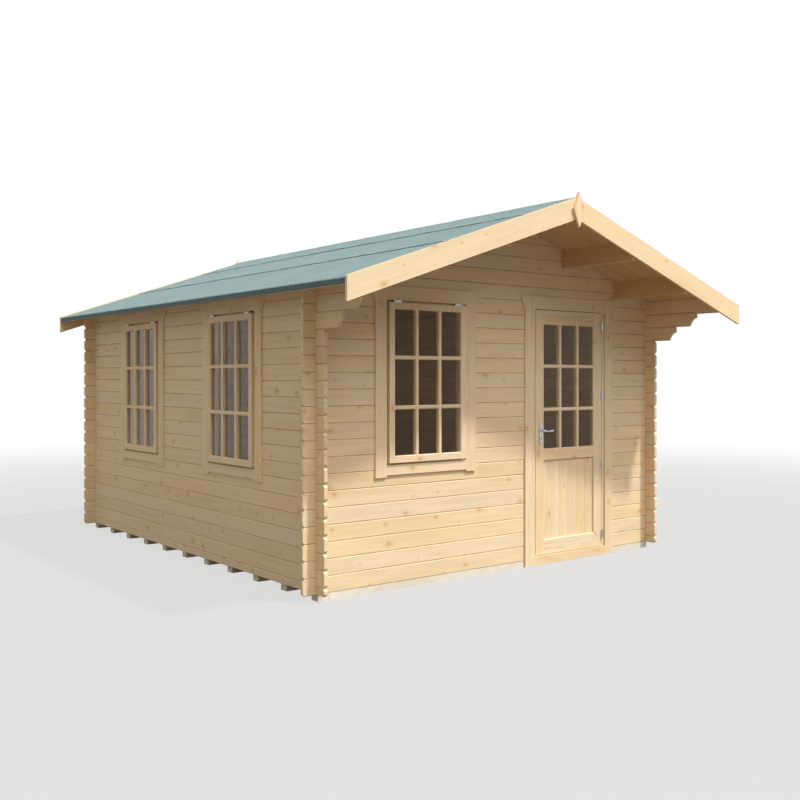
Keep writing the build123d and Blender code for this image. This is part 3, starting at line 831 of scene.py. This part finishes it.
def add_bars(bm, wall, us, zs, levels):
    """A lattice of glazing bars with mitred bevels.

    Levels are (in from the bar's edge, out from the wall), from the bar's base up.
    """
    def solid(i, k):
        """Cells with two even numbers are panes, and all others are bars."""
        return 0 <= i < len(us) - 1 and 0 <= k < len(zs) - 1 and (i % 2 == 1 or k % 2 == 1)

    def quad(*spots):
        """A face between spots of the lattice, each on a level where every pane has grown all round."""
        corners = []
        for (grow, out), (i, k) in spots:
            u = us[i] + (grow if i % 2 else -grow)
            z = zs[k] + (grow if k % 2 else -grow)
            corners.append(bm.verts.new(wall_point(wall, u, out, z)))
        bm.faces.new(corners)

    sides = []
    for i, k in [(i, k) for i in range(len(us) - 1) for k in range(len(zs) - 1) if solid(i, k)]:
        a, b, c, d = (i, k), (i + 1, k), (i + 1, k + 1), (i, k + 1)
        beside = {(i, k - 1): (a, b), (i + 1, k): (b, c), (i, k + 1): (c, d), (i - 1, k): (d, a)}
        sides += [edge for cell, edge in beside.items() if not solid(*cell)]
        for level in (levels[0], levels[-1]):
            quad((level, a), (level, b), (level, c), (level, d))
    for below, above in zip(levels, levels[1:]):
        for first, second in sides:
            quad((below, first), (below, second), (above, second), (above, first))


def glazing_bars(name, wall, glass, sash, bar, body, pitch=None):
    """The bars on both faces of a pane, with the same bevel as the sash that holds it."""
    glazing = bpy.context.scene.cabin_glazing
    left, right, foot, head = daylight(wall, glass)
    us = edges_of(left, right, glazing.panes, bar)
    zs = edges_of(foot, head, glazing.panes, bar, pitch)
    _, (pane_out, pane_in), _ = wall_box(wall, glass)
    _, (sash_out, sash_in), _ = wall_box(wall, sash)
    bm = bmesh.new()
    for base, face in ((pane_out + GLASS_GAP, sash_out), (pane_in - GLASS_GAP, sash_in)):
        step = glazing.bevel if face > base else -glazing.bevel
        add_bars(bm, wall, us, zs, [(0.0, base), (0.0, face - step), (glazing.bevel, face)])
    lay = grain_bars(wall, (left + right) / 2, us[2] - us[0], bar, left * 10)
    finish = pine(f"{name} grain", lay, figure=0.35, knottiness=0.12)
    return finish_piece(bm, name, finish, body)


class CABIN_OT_log_walls(bpy.types.Operator):
    """Finish the interlocking log walls and gables"""

    bl_idname = "cabin.log_walls"
    bl_label = "Log walls"

    def execute(self, context):
        middle = LOG_THICKNESS / 2
        side_start = LOGS_START - LOG_PITCH / 2
        front = pine("Front logs", grain_across(FRONT_FACE + middle, 0.0), joints=LOGS_START)
        back = pine("Back logs", grain_across(BACK_FACE - middle, 40.0), joints=LOGS_START)
        left = pine("Left logs", grain_back(middle - SIDE_FACE, 80.0), joints=side_start)
        right = pine("Right logs", grain_back(SIDE_FACE - middle, 120.0), joints=side_start)
        dress(front, "front_wall_left", "front_wall_right", "front_gable")
        dress(back, "back_wall", "back_gable")
        dress(left, "left_wall")
        dress(right, "right_wall")
        return {"FINISHED"}


class CABIN_OT_timbers(bpy.types.Operator):
    """Finish the bearers, purlins, verge boards, finials and eave boards"""

    bl_idname = "cabin.timbers"
    bl_label = "Bearers and roof timbers"

    def execute(self, context):
        bearer = pine("Bearer timber", grain_bearers, tone=(0.76, 0.71, 0.6), figure=0.3, knottiness=0.1)
        dress(bearer, "bearers")
        # Painted shade: the purlins' pine is darker and more orange than the walls', for the shade and warm
        # bounced light under the roof
        purlin = pine("Purlins", grain_purlins, tone=(0.66, 0.44, 0.225))
        dress(purlin, "ridge_purlin", "side_purlins")
        ends = [f"{end}_barge_board_{side}" for end in ("front", "back") for side in ("left", "right")]
        dress(pine("Verge boards", grain_verge, knottiness=0.3), *ends)
        dress(pine("Finials", grain_upright(-0.5, 1.0, 5.0), knottiness=0.1), "front_finial", "back_finial")
        dress(pine("Eave boards", grain_eave), "eave_board_left", "eave_board_right")
        return {"FINISHED"}


class CABIN_OT_boards(bpy.types.Operator):
    """Lay the roof boards and the floor boards"""

    bl_idname = "cabin.boards"
    bl_label = "Roof and floor boards"

    def execute(self, context):
        roof = context.scene.cabin_roof
        count = round((ROOF_BACK - ROOF_FRONT) / roof.board_cover)
        cover = (ROOF_BACK - ROOF_FRONT) / count
        # Painted shade: the roof boards' pine is darker and more orange than the walls', for the shade and
        # warm bounced light under the eaves
        finish = pine("Roof boards", grain_roof_boards(cover), tone=(0.66, 0.435, 0.22))
        turn = {"right": Matrix.Identity(4), "left": Matrix.Scale(-1, 4, (1, 0, 0))}
        for side, mirror in turn.items():
            seat = mirror @ Matrix.Translation((0, ROOF_FRONT + cover / 2, RIDGE_UNDER + DECK_RISE / 2))
            boards = board_row(
                f"roof_boards_{side}", finish, "cabin", "roof_boards", seat,
                Length=DECK_REACH, Cover=cover, Thickness=DECK_RISE, Groove=roof.board_groove,
                Slope=ROOF_SLOPE, Count=count,
            )
            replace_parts(boards, f"roof_deck_{side}")
        low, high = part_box("floor")
        doorway_low, doorway_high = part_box("door_frame")
        clear = 0.003
        strips = (
            ("floor_boards_left", low.x, doorway_low.x, low.y),
            ("floor_boards_doorway", doorway_low.x, doorway_high.x, doorway_high.y + clear),
            ("floor_boards_right", doorway_high.x, high.x, low.y),
        )
        for index, (name, start, end, first) in enumerate(strips):
            count = round((end - start) / FLOOR_COVER)
            cover = (end - start) / count
            finish = pine(f"{name} grain", grain_floor(start, cover, 30.0 * index), tone=(0.7, 0.5, 0.3))
            quarter = Matrix.Rotation(pi / 2, 4, "Z")
            seat = Matrix.Translation((end - cover / 2, first, (low.z + high.z) / 2)) @ quarter
            boards = board_row(
                name, finish, "cabin", "floor_boards", seat,
                Length=high.y - first, Cover=cover, Thickness=high.z - low.z, Groove=CLOSE_GROOVE,
                Slope=0.0, Count=count,
            )
            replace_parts(boards, "floor")
        return {"FINISHED"}


def slope_point(side, along, height, y):
    """A point of the roof: its distance down the slope, its height off the deck and its place along it."""
    x = along * cos(ROOF_ANGLE) + height * sin(ROOF_ANGLE)
    z = RIDGE_TOP - along * sin(ROOF_ANGLE) + height * cos(ROOF_ANGLE)
    return (side * x, y, z)


def sheet_piece(name, upper, lower, steps, ys):
    """A closed sheet between two functions that give its upper and lower points, by its step and its Y."""
    bm = bmesh.new()
    top = [[bm.verts.new(upper(step, y)) for y in ys] for step in steps]
    under = [[bm.verts.new(lower(step, y)) for y in ys] for step in steps]
    last_step, last_y = len(steps) - 1, len(ys) - 1
    for i in range(last_step):
        for j in range(last_y):
            bm.faces.new([top[i][j], top[i + 1][j], top[i + 1][j + 1], top[i][j + 1]])
            bm.faces.new([under[i][j], under[i][j + 1], under[i + 1][j + 1], under[i + 1][j]])
    for j in range(last_y):
        for i in (0, last_step):
            bm.faces.new([top[i][j], top[i][j + 1], under[i][j + 1], under[i][j]])
    for i in range(last_step):
        for j in (0, last_y):
            bm.faces.new([top[i][j], under[i][j], under[i + 1][j], top[i + 1][j]])
    return finish_piece(bm, name, once("Mineral felt", felt_material), "cabin")


def spread(start, end, step):
    """Evenly spaced values from start to end, about a step apart."""
    count = max(1, round((end - start) / step))
    return [start + (end - start) * index / count for index in range(count + 1)]


class CABIN_OT_felt(bpy.types.Operator):
    """Lay the mineral felt: two courses a side, folded at the eaves, and a cap over the ridge"""

    bl_idname = "cabin.felt"
    bl_label = "Roof felt"

    # A sheet's thickness, the gap between two, and the gap to the eave board that one is folded over
    thickness, gap, fold_gap = 0.0036, 0.0008, 0.0002

    # Down the slope: the upper course's two edges, how far it laps the lower one, and the cap's reach
    head, seam, lap, cap = 0.02, 1.24, 0.08, 0.48

    # A lap's edge: the height of its curl, how far in that starts, and what the underside has of it
    curl_height, curl_reach, curl_under = 0.004, 0.11, 0.9

    # What the underside has of the sheet's waves at an edge
    wave_under = 0.3

    # The cap over the ridge: how much it is rounded up, how far out, and how far its crown sinks
    round_height, round_reach, crown_sink = 0.012, 0.14, 0.004

    bend = 0.012
    stations = spread(ROOF_FRONT, ROOF_BACK, 0.03)
    nail_inset = 0.022
    nail_row = spread(ROOF_FRONT + 0.03, ROOF_BACK - 0.03, 0.075)

    def lift(self, along, y, side):
        """How far the felt stands off, for its slight waves."""
        roof = bpy.context.scene.cabin_roof
        wave = noise.noise(Vector((along * 2.1, y * 3.4, side * 9.0)))
        buckle = noise.noise(Vector((along * 0.6 + 5, y * 9.0, side * 4.0)))
        return roof.ripple * (0.5 + 0.5 * wave + 0.35 * buckle)

    def curl(self, inset, y, seed):
        """How far a lap lifts near its edge. Inset is the distance from the edge."""
        wave = noise.noise(Vector((y * 7.5, seed, 8.0)))
        near = max(0, 1 - inset / self.curl_reach)
        return self.curl_height * near ** 2 * max(0, 0.2 + 1.3 * wave)

    def stray(self, y, seed):
        """How far a lap's edge strays."""
        roof = bpy.context.scene.cabin_roof
        bow = noise.noise(Vector((y * 1.9, seed, 0.0)))
        return roof.wander * (bow + 0.7 * noise.noise(Vector((y * 8.0, seed, 3.0))))

    def course(self, name, side, start, end, rest, edge_seed):
        """A course whose lower edge strays and lifts a little. Rest gives the height of what is under it."""
        steps = spread(start, end, 0.05)

        def place(along, y, height):
            share = (along - start) / (end - start)
            moved = along + self.stray(y, edge_seed) * share
            return slope_point(side, moved, height, y)

        def upper(along, y):
            raised = self.lift(along, y, side) + self.curl(end - along, y, edge_seed)
            return place(along, y, rest(along) + self.thickness + raised)

        def lower(along, y):
            raised = self.lift(along, y, side) * (self.wave_under if along == end else 0.0)
            curled = self.curl_under * self.curl(end - along, y, edge_seed)
            return place(along, y, rest(along) + raised + curled)

        self.nails.append((side, [upper(end - self.nail_inset, nail_y) for nail_y in self.nail_row]))
        return sheet_piece(name, upper, lower, steps, self.stations)

    def eave_course(self, name, side):
        """The lower course, which folds down over the eave board."""
        board_low, board_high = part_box("eave_board_right")
        fold = (FELT_REACH - self.thickness * sin(ROOF_ANGLE)) / cos(ROOF_ANGLE)
        flat = spread(self.seam - self.lap - 0.02, fold - self.bend, 0.05)
        bend_z = slope_point(1, fold - self.bend, 0.0, 0.0)[2]
        drop = spread(bend_z - self.bend / 2, board_low.z, 0.01)
        steps = [("slope", along) for along in flat] + [("fold", z) for z in drop]

        def upper(step, y):
            kind, value = step
            if kind == "slope":
                wave = self.lift(value, y, side) * min(1, (fold - value) / 0.1)
                return slope_point(side, value, self.thickness + wave, y)
            return (side * FELT_REACH, y, value)

        def lower(step, y):
            kind, value = step
            if kind == "slope":
                return slope_point(side, value, 0.0, y)
            return (side * (board_high.x + self.fold_gap), y, value)

        return sheet_piece(name, upper, lower, steps, self.stations)

    def execute(self, context):
        over = self.thickness + self.gap
        climb_start, climb_length = self.seam - self.lap - 0.05, 0.04
        self.nails = []

        def rest(along):
            return over * min(1, max(0, (along - climb_start) / climb_length))

        for side, name in ((-1, "left"), (1, "right")):
            upper = self.course(f"felt_upper_{name}", side, self.head, self.seam, rest, side * 3.0)
            eave = self.eave_course(f"felt_eave_{name}", side)
            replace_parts(upper, f"roof_felt_{name}")
            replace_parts(eave, f"roof_felt_{name}")
        steps = spread(-self.cap, self.cap, 0.04)

        def cap_point(along, y, height):
            side = 1 if along >= 0 else -1
            moved = abs(along) + self.stray(y, 20.0 + side) * abs(along) / self.cap
            x, _, z = slope_point(side, moved, height, y)
            rounded = self.round_height * (1 - min(1, abs(along) / self.round_reach)) ** 2
            if along == 0:
                return (0.0, y, RIDGE_TOP + height / cos(ROOF_ANGLE) + rounded - self.crown_sink)
            return (x, y, z + rounded)

        def curled(along, y):
            return self.curl(self.cap - abs(along), y, 5.0 if along > 0 else 9.0)

        def upper(along, y):
            raised = self.lift(abs(along), y, along) + curled(along, y)
            return cap_point(along, y, over + self.thickness + raised)

        def lower(along, y):
            edge = abs(abs(along) - self.cap) < 1e-9
            raised = self.wave_under * self.lift(abs(along), y, along) if edge else 0.0
            return cap_point(along, y, over + raised + self.curl_under * curled(along, y))

        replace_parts(sheet_piece("felt_cap", upper, lower, steps, self.stations), "ridge_felt")
        for side in (-1, 1):
            edge = side * (self.cap - self.nail_inset)
            self.nails.append((side, [upper(edge, nail_y) for nail_y in self.nail_row]))
        sunk = 0.0008
        rows = []
        for side, heads in self.nails:
            facing = Vector((side * sin(ROOF_ANGLE), 0.0, cos(ROOF_ANGLE)))
            rows.append(([Vector(head) - facing * sunk for head in heads], facing))
        metal = once("Satin metal", metal_material)
        fixings("felt_nails", metal, "cabin", rows, radius=0.005, height=0.002)
        return {"FINISHED"}


class CABIN_OT_windows(bpy.types.Operator):
    """Finish the windows and add their glazing bars"""

    bl_idname = "cabin.windows"
    bl_label = "Windows"

    def execute(self, context):
        glazing = context.scene.cabin_glazing
        for index, name in enumerate(WINDOWS):
            wall = wall_of(name)
            left, right, _, _ = daylight(wall, f"{name}_glass")
            middle, clear = (left + right) / 2, (right - left) / 2
            lining = inside_lining(wall, f"{name}_frame")
            offset = 11.0 * index
            sash = pine(f"{name} sash", grain_framed(wall, middle, clear, 1.4, offset), knottiness=0.25)
            trim = pine(f"{name} trim", grain_framed(wall, middle, lining, 1.4, offset + 5), knottiness=0.3)
            dress(sash, f"{name}_sash")
            dress(trim, f"{name}_casing", f"{name}_frame")
            dress(once("Window glass", glass_material), f"{name}_glass")
            glazing_bars(
                f"{name}_bars", wall, f"{name}_glass", f"{name}_sash", glazing.window_bar, "cabin",
            )
            _, (out, _), (_, head) = wall_box(wall, f"{name}_sash")
            self.hinges(f"{name}_hinges", wall, middle, head, out)
        return {"FINISHED"}

    def hinges(self, name, wall, middle, head, out):
        """Two hinges in the gap over a sash: knuckles on a pin, and a plate on the sash and on the frame."""
        bm = bmesh.new()
        apart, length, gap, plate, seat = 0.57, 0.066, 0.015, 0.0018, 0.0002
        knuckle_radius, pin_radius, pin_half, between = 0.0055, 0.003, 0.03, 0.0015
        knuckle = (length - 2 * between) / 3

        def rod(start, end, radius, sides):
            ends = [Vector(wall_point(wall, u, out - 0.003, head + gap / 2)) for u in (start, end)]
            add_sweep(bm, ends, [(radius, radius)] * 2, sides)

        for place in (middle - apart / 2, middle + apart / 2):
            for count in range(3):
                start = place - length / 2 + count * (knuckle + between)
                rod(start, start + knuckle, knuckle_radius, 16)
            rod(place - pin_half, place + pin_half, pin_radius, 12)
            for low in (head + seat, head + gap - plate - seat):
                inner = wall_point(wall, place - length / 2, 0.004, low)
                outer = wall_point(wall, place + length / 2, out - 0.004, low + plate)
                add_box(bm, inner, outer)
        finish_piece(bm, name, once("Satin metal", metal_material), "cabin")


class CABIN_OT_door(bpy.types.Operator):
    """Finish the door, and add its glazing bars and panel boards"""

    bl_idname = "cabin.door"
    bl_label = "Door"

    def execute(self, context):
        left, right, _, _ = daylight("front", "door_glass")
        middle, stiles = (left + right) / 2, (right - left) / 2
        lining = inside_lining("front", "door_frame")
        leaf = pine("Door leaf", grain_framed("front", middle, stiles, 0.5, 50.0), knottiness=0.3)
        trim = pine("Door trim", grain_framed("front", middle, lining, 0.5, 60.0))
        dress(leaf, "door_leaf")
        dress(trim, "door_frame", "door_casing")
        dress(once("Window glass", glass_material), "door_glass")
        glazing = context.scene.cabin_glazing
        glazing_bars(
            "door_bars", "front", "door_glass", "door_leaf", glazing.door_bar, "door", glazing.door_pitch,
        )

        low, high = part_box("door_panel")
        count = 6
        cover = (high.x - low.x) / count
        finish = pine("Door panel", grain_upright(low.x, cover, 70.0))
        upright = Matrix.Rotation(-pi / 2, 4, "Y") @ Matrix.Rotation(-pi / 2, 4, "X")
        seat = Matrix.Translation((low.x + cover / 2, (low.y + high.y) / 2, low.z)) @ upright
        boards = board_row(
            "door_panel_boards", finish, "door", "pine_joinery", seat,
            Length=high.z - low.z, Cover=cover, Thickness=high.y - low.y, Groove=CLOSE_GROOVE,
            Slope=0.0, Count=count,
        )
        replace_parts(boards, "door_panel")
        return {"FINISHED"}


class CABIN_OT_nails(bpy.types.Operator):
    """Drive the nails of the verge boards and of the cover boards round the openings"""

    bl_idname = "cabin.nails"
    bl_label = "Nails"

    edge = 0.024

    # Where a row starts, how far before the board's end it stops, and about how far apart its nails are
    verge_row = (0.12, 0.07, 0.44)
    upright_row = (0.05, 0.03, 0.38)
    head_pitch = 0.36

    def execute(self, context):
        metal = once("Satin metal", metal_material)
        rows = []
        for end, away in (("front", -1.0), ("back", 1.0)):
            for side in ("left", "right"):
                rows.append((self.verge(f"{end}_barge_board_{side}", away), (0.0, away, 0.0)))
        fixings("verge_nails", metal, "cabin", rows, radius=0.0032, height=0.0006)
        rows = []
        for name in (*WINDOWS, "door"):
            wall = "front" if name == "door" else wall_of(name)
            facing = (0.0, -1.0, 0.0) if wall == "front" else (-1.0, 0.0, 0.0)
            rows.append((self.casing(f"{name}_casing", wall), facing))
        fixings("casing_nails", metal, "cabin", rows, radius=0.0022, height=0.0005)
        return {"FINISHED"}

    def verge(self, board, away):
        """Pairs of nails down a verge board."""
        low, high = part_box(board)
        side = -1 if low.x < -0.5 else 1
        face = low.y if away < 0 else high.y
        deep = high.z - low.z - ROOF_SLOPE * (high.x - low.x)
        first, short, pitch = self.verge_row
        points = []
        for out in spread(first, high.x - low.x - short, pitch):
            top = high.z - ROOF_SLOPE * out
            points += [(side * out, face, top - self.edge), (side * out, face, top - deep + self.edge)]
        return points

    def casing(self, name, wall):
        """Pairs of nails up both side boards and along the head board."""
        (start, end), (out, _), (foot, head) = wall_box(wall, name)
        middle, outer = (start + end) / 2, (end - start) / 2 - CASING_FLARE
        first, short, pitch = self.upright_row
        spots = []
        for side in (-1, 1):
            for z in spread(foot + first, head - CASING_HEAD - short, pitch):
                for inset in (self.edge, CASING_WIDTH - self.edge):
                    spots.append((middle + side * (outer - inset), z))
        for u in spread(middle - outer, middle + outer, self.head_pitch):
            spots += [(u, head - self.edge), (u, head - CASING_HEAD + self.edge)]
        return [wall_point(wall, u, out, z) for u, z in spots]


class CABIN_OT_ironmongery(bpy.types.Operator):
    """Finish the hinges and the handle"""

    bl_idname = "cabin.ironmongery"
    bl_label = "Hinges and handle"

    # The lever's axis from its box, the lock's drop below it, and the screws' rise from the plate's middle
    axis_in, axis_down = 0.008, 0.010
    lock_drop = 0.062
    screw_rise = 0.071

    def execute(self, context):
        metal = once("Satin metal", metal_material)
        dress(metal, "hinge_frame_knuckles", "hinge_leaf_knuckles", "handle_plates")
        low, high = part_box("door_lever")
        spindle = Vector((low.x + self.axis_in, 0.0, high.z - self.axis_down))
        leaf_low, leaf_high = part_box("door_leaf")
        path, radii = self.lever_line()
        bm = bmesh.new()
        for face, away in ((leaf_low.y, -1), (leaf_high.y, 1)):
            add_sweep(bm, [spindle + Vector((x, face + away * out, z)) for x, out, z in path], radii)
        lever = finish_piece(bm, "lever_handle", metal, "lever", smooth=True)
        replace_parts(lever, "door_lever")

        plate_low, plate_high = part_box("handle_plates")
        middle = (plate_low.z + plate_high.z) / 2
        lock = spindle.z - self.lock_drop
        rows = []
        bm = bmesh.new()
        for face, away in ((plate_low.y, -1), (plate_high.y, 1)):
            rises = (middle - self.screw_rise, middle + self.screw_rise)
            rows.append(([(spindle.x, face, z) for z in rises], (0.0, away, 0.0)))
            ends = [Vector((spindle.x, face + away * out, lock)) for out in (-0.006, 0.0025)]
            add_sweep(bm, ends, [(0.0034, 0.0088)] * 2, 24)
        finish_piece(bm, "lock_cylinder", once("Lock", lock_material), "door")
        fixings("plate_screws", metal, "door", rows, radius=0.0036, height=0.0012)
        return {"FINISHED"}

    def lever_line(self):
        """One side's lever: out from the leaf, round a bend and along in a shallow wave to a flared end."""
        neck = (
            (-0.004, 0.0078), (0.0071, 0.0078), (0.0073, 0.0112),
            (0.0122, 0.0112), (0.0138, 0.0085), (0.027, 0.0082),
        )
        bend, reach, tip = 0.013, 0.104, 0.0075
        path = [(0.0, out, 0.0) for out, _ in neck]
        radii = [(radius, radius) for _, radius in neck]
        for count in range(1, 7):
            turn = pi / 2 * count / 6
            path.append((bend * (1 - cos(turn)), 0.027 + bend * sin(turn), -0.0008 * count / 6))
            radii.append((0.0082 - 0.0022 * count / 6, 0.0084))
        for count in range(1, 17):
            share = count / 16
            z = -0.0008 - 0.0052 * sin(pi * min(1, share * 1.15)) ** 2 - 0.0012 * share
            path.append((bend + (reach - bend) * share, 0.040, z))
            radii.append((0.0060 - 0.0012 * share, 0.0082 - 0.0025 * sin(pi * share) + 0.0012 * share ** 3))
        x, out, z = path[-1]
        thick, high = radii[-1]
        for count in range(1, 6):
            turn = pi / 2 * count / 6
            path.append((x + tip * sin(turn), out, z))
            radii.append((thick * cos(turn), high * cos(turn)))
        return path, radii


def camera_rays(g):
    """1 for what the camera sees by itself, in metal or through glass."""
    rays = g.add("ShaderNodeLightPath").outputs
    seen = g.math("MAXIMUM", rays["Is Camera Ray"], rays["Is Glossy Ray"])
    return g.math("MAXIMUM", seen, rays["Is Transmission Ray"])


class CABIN_OT_stage(bpy.types.Operator):
    """Set the pale floor, the soft light and the camera"""

    bl_idname = "cabin.stage"
    bl_label = "Stage"

    def execute(self, context):
        stage = context.scene.cabin_stage
        scene = context.scene
        bm = bmesh.new()
        bmesh.ops.create_circle(bm, cap_ends=True, radius=45.0, segments=96)
        mesh = bpy.data.meshes.new("studio_floor")
        bm.to_mesh(mesh)
        bm.free()
        floor = bpy.data.objects.new("studio_floor", mesh)
        scene.collection.objects.link(floor)
        made, g, output = new_material("Pale floor")
        x, y, _ = object_place(g)
        away = g.math("SQRT", g.math("ADD", g.math("MULTIPLY", x, x), g.math("MULTIPLY", y, y)))
        matt = g.add("ShaderNodeBsdfDiffuse", {"Color": (0.15, 0.145, 0.13, 1.0)})
        white = g.add("ShaderNodeEmission", {"Color": (1.0, 1.0, 1.0, 1.0), "Strength": 1.0})
        fade_start, fade_end, least = 5.0, 16.0, 0.68
        fade = g.math("MULTIPLY", g.ramp(away, fade_start, fade_end, least, 1.0), camera_rays(g))
        blended = g.add("ShaderNodeMixShader", {0: fade, 1: matt.outputs[0], 2: white.outputs[0]})
        g.feed(output.inputs["Surface"], blended.outputs[0])
        mesh.materials.append(made)

        world = bpy.data.worlds.new("Studio")
        world.use_nodes = True
        world.node_tree.nodes.clear()
        g = Graph(world.node_tree)
        inputs = {0: camera_rays(g), 2: stage.sky, 3: 1.0}
        strength = g.add("ShaderNodeMix", inputs, data_type="FLOAT").outputs[0]
        white = g.add("ShaderNodeBackground", {"Color": (1.0, 1.0, 1.0, 1.0), "Strength": strength})
        g.add("ShaderNodeOutputWorld", {"Surface": white.outputs[0]})
        scene.world = world

        white = (1.0, 1.0, 1.0)
        for name, strength, colour, breadth, turn in (
            ("Key", stage.key, white, 0.06, (0.541, 0.0, 0.593)),
            ("Fill", stage.fill, white, 1.0, (0.68, 0.0, 0.15)),
            ("Top", stage.top, stage.top_colour, 2.2, (0.0, -0.6, 0.0)),
        ):
            light = bpy.data.lights.new(name, "SUN")
            light.energy = strength
            light.color = colour
            light.angle = breadth
            lamp = bpy.data.objects.new(name, light)
            lamp.rotation_euler = turn
            scene.collection.objects.link(lamp)

        eye = bpy.data.cameras.new("Camera")
        eye.sensor_width = 36.0
        eye.lens = stage.focal
        eye.shift_y = stage.rise
        eye.clip_end = 200.0
        camera = bpy.data.objects.new("Camera", eye)
        camera.location = stage.eye
        camera.rotation_euler = (pi / 2, 0.0, stage.turn)
        scene.collection.objects.link(camera)
        scene.camera = camera
        scene.view_settings.view_transform = "Standard"
        return {"FINISHED"}


class CABIN_PT_steps(bpy.types.Panel):
    """The cabin's pieces, one button each"""

    bl_idname = "CABIN_PT_steps"
    bl_label = "Log cabin"
    bl_space_type = "VIEW_3D"
    bl_region_type = "UI"
    bl_category = "Cabin"

    def draw(self, context):
        for operator in OPERATORS:
            self.layout.operator(operator.bl_idname)
        for group in SETTINGS:
            box = self.layout.box()
            box.label(text=group.replace("cabin_", "").capitalize())
            settings = getattr(context.scene, group)
            for name in settings.__annotations__:
                box.prop(settings, name)


OPERATORS = (
    CABIN_OT_log_walls,
    CABIN_OT_timbers,
    CABIN_OT_boards,
    CABIN_OT_felt,
    CABIN_OT_windows,
    CABIN_OT_door,
    CABIN_OT_nails,
    CABIN_OT_ironmongery,
    CABIN_OT_stage,
)
SETTINGS = {
    "cabin_wood": WoodSettings,
    "cabin_roof": RoofSettings,
    "cabin_glazing": GlazingSettings,
    "cabin_stage": StageSettings,
}


def register():
    for group in SETTINGS.values():
        bpy.utils.register_class(group)
    for name, group in SETTINGS.items():
        setattr(bpy.types.Scene, name, bpy.props.PointerProperty(type=group))
    for operator in OPERATORS:
        bpy.utils.register_class(operator)
    bpy.utils.register_class(CABIN_PT_steps)


def unregister():
    bpy.utils.unregister_class(CABIN_PT_steps)
    for operator in reversed(OPERATORS):
        bpy.utils.unregister_class(operator)
    for name in SETTINGS:
        delattr(bpy.types.Scene, name)
    for group in reversed(list(SETTINGS.values())):
        bpy.utils.unregister_class(group)


def main():
    """Builds every piece in turn."""
    register()
    bpy.ops.cabin.log_walls()
    bpy.ops.cabin.timbers()
    bpy.ops.cabin.boards()
    bpy.ops.cabin.felt()
    bpy.ops.cabin.windows()
    bpy.ops.cabin.door()
    bpy.ops.cabin.nails()
    bpy.ops.cabin.ironmongery()
    bpy.ops.cabin.stage()


if __name__ == "__main__":
    main()
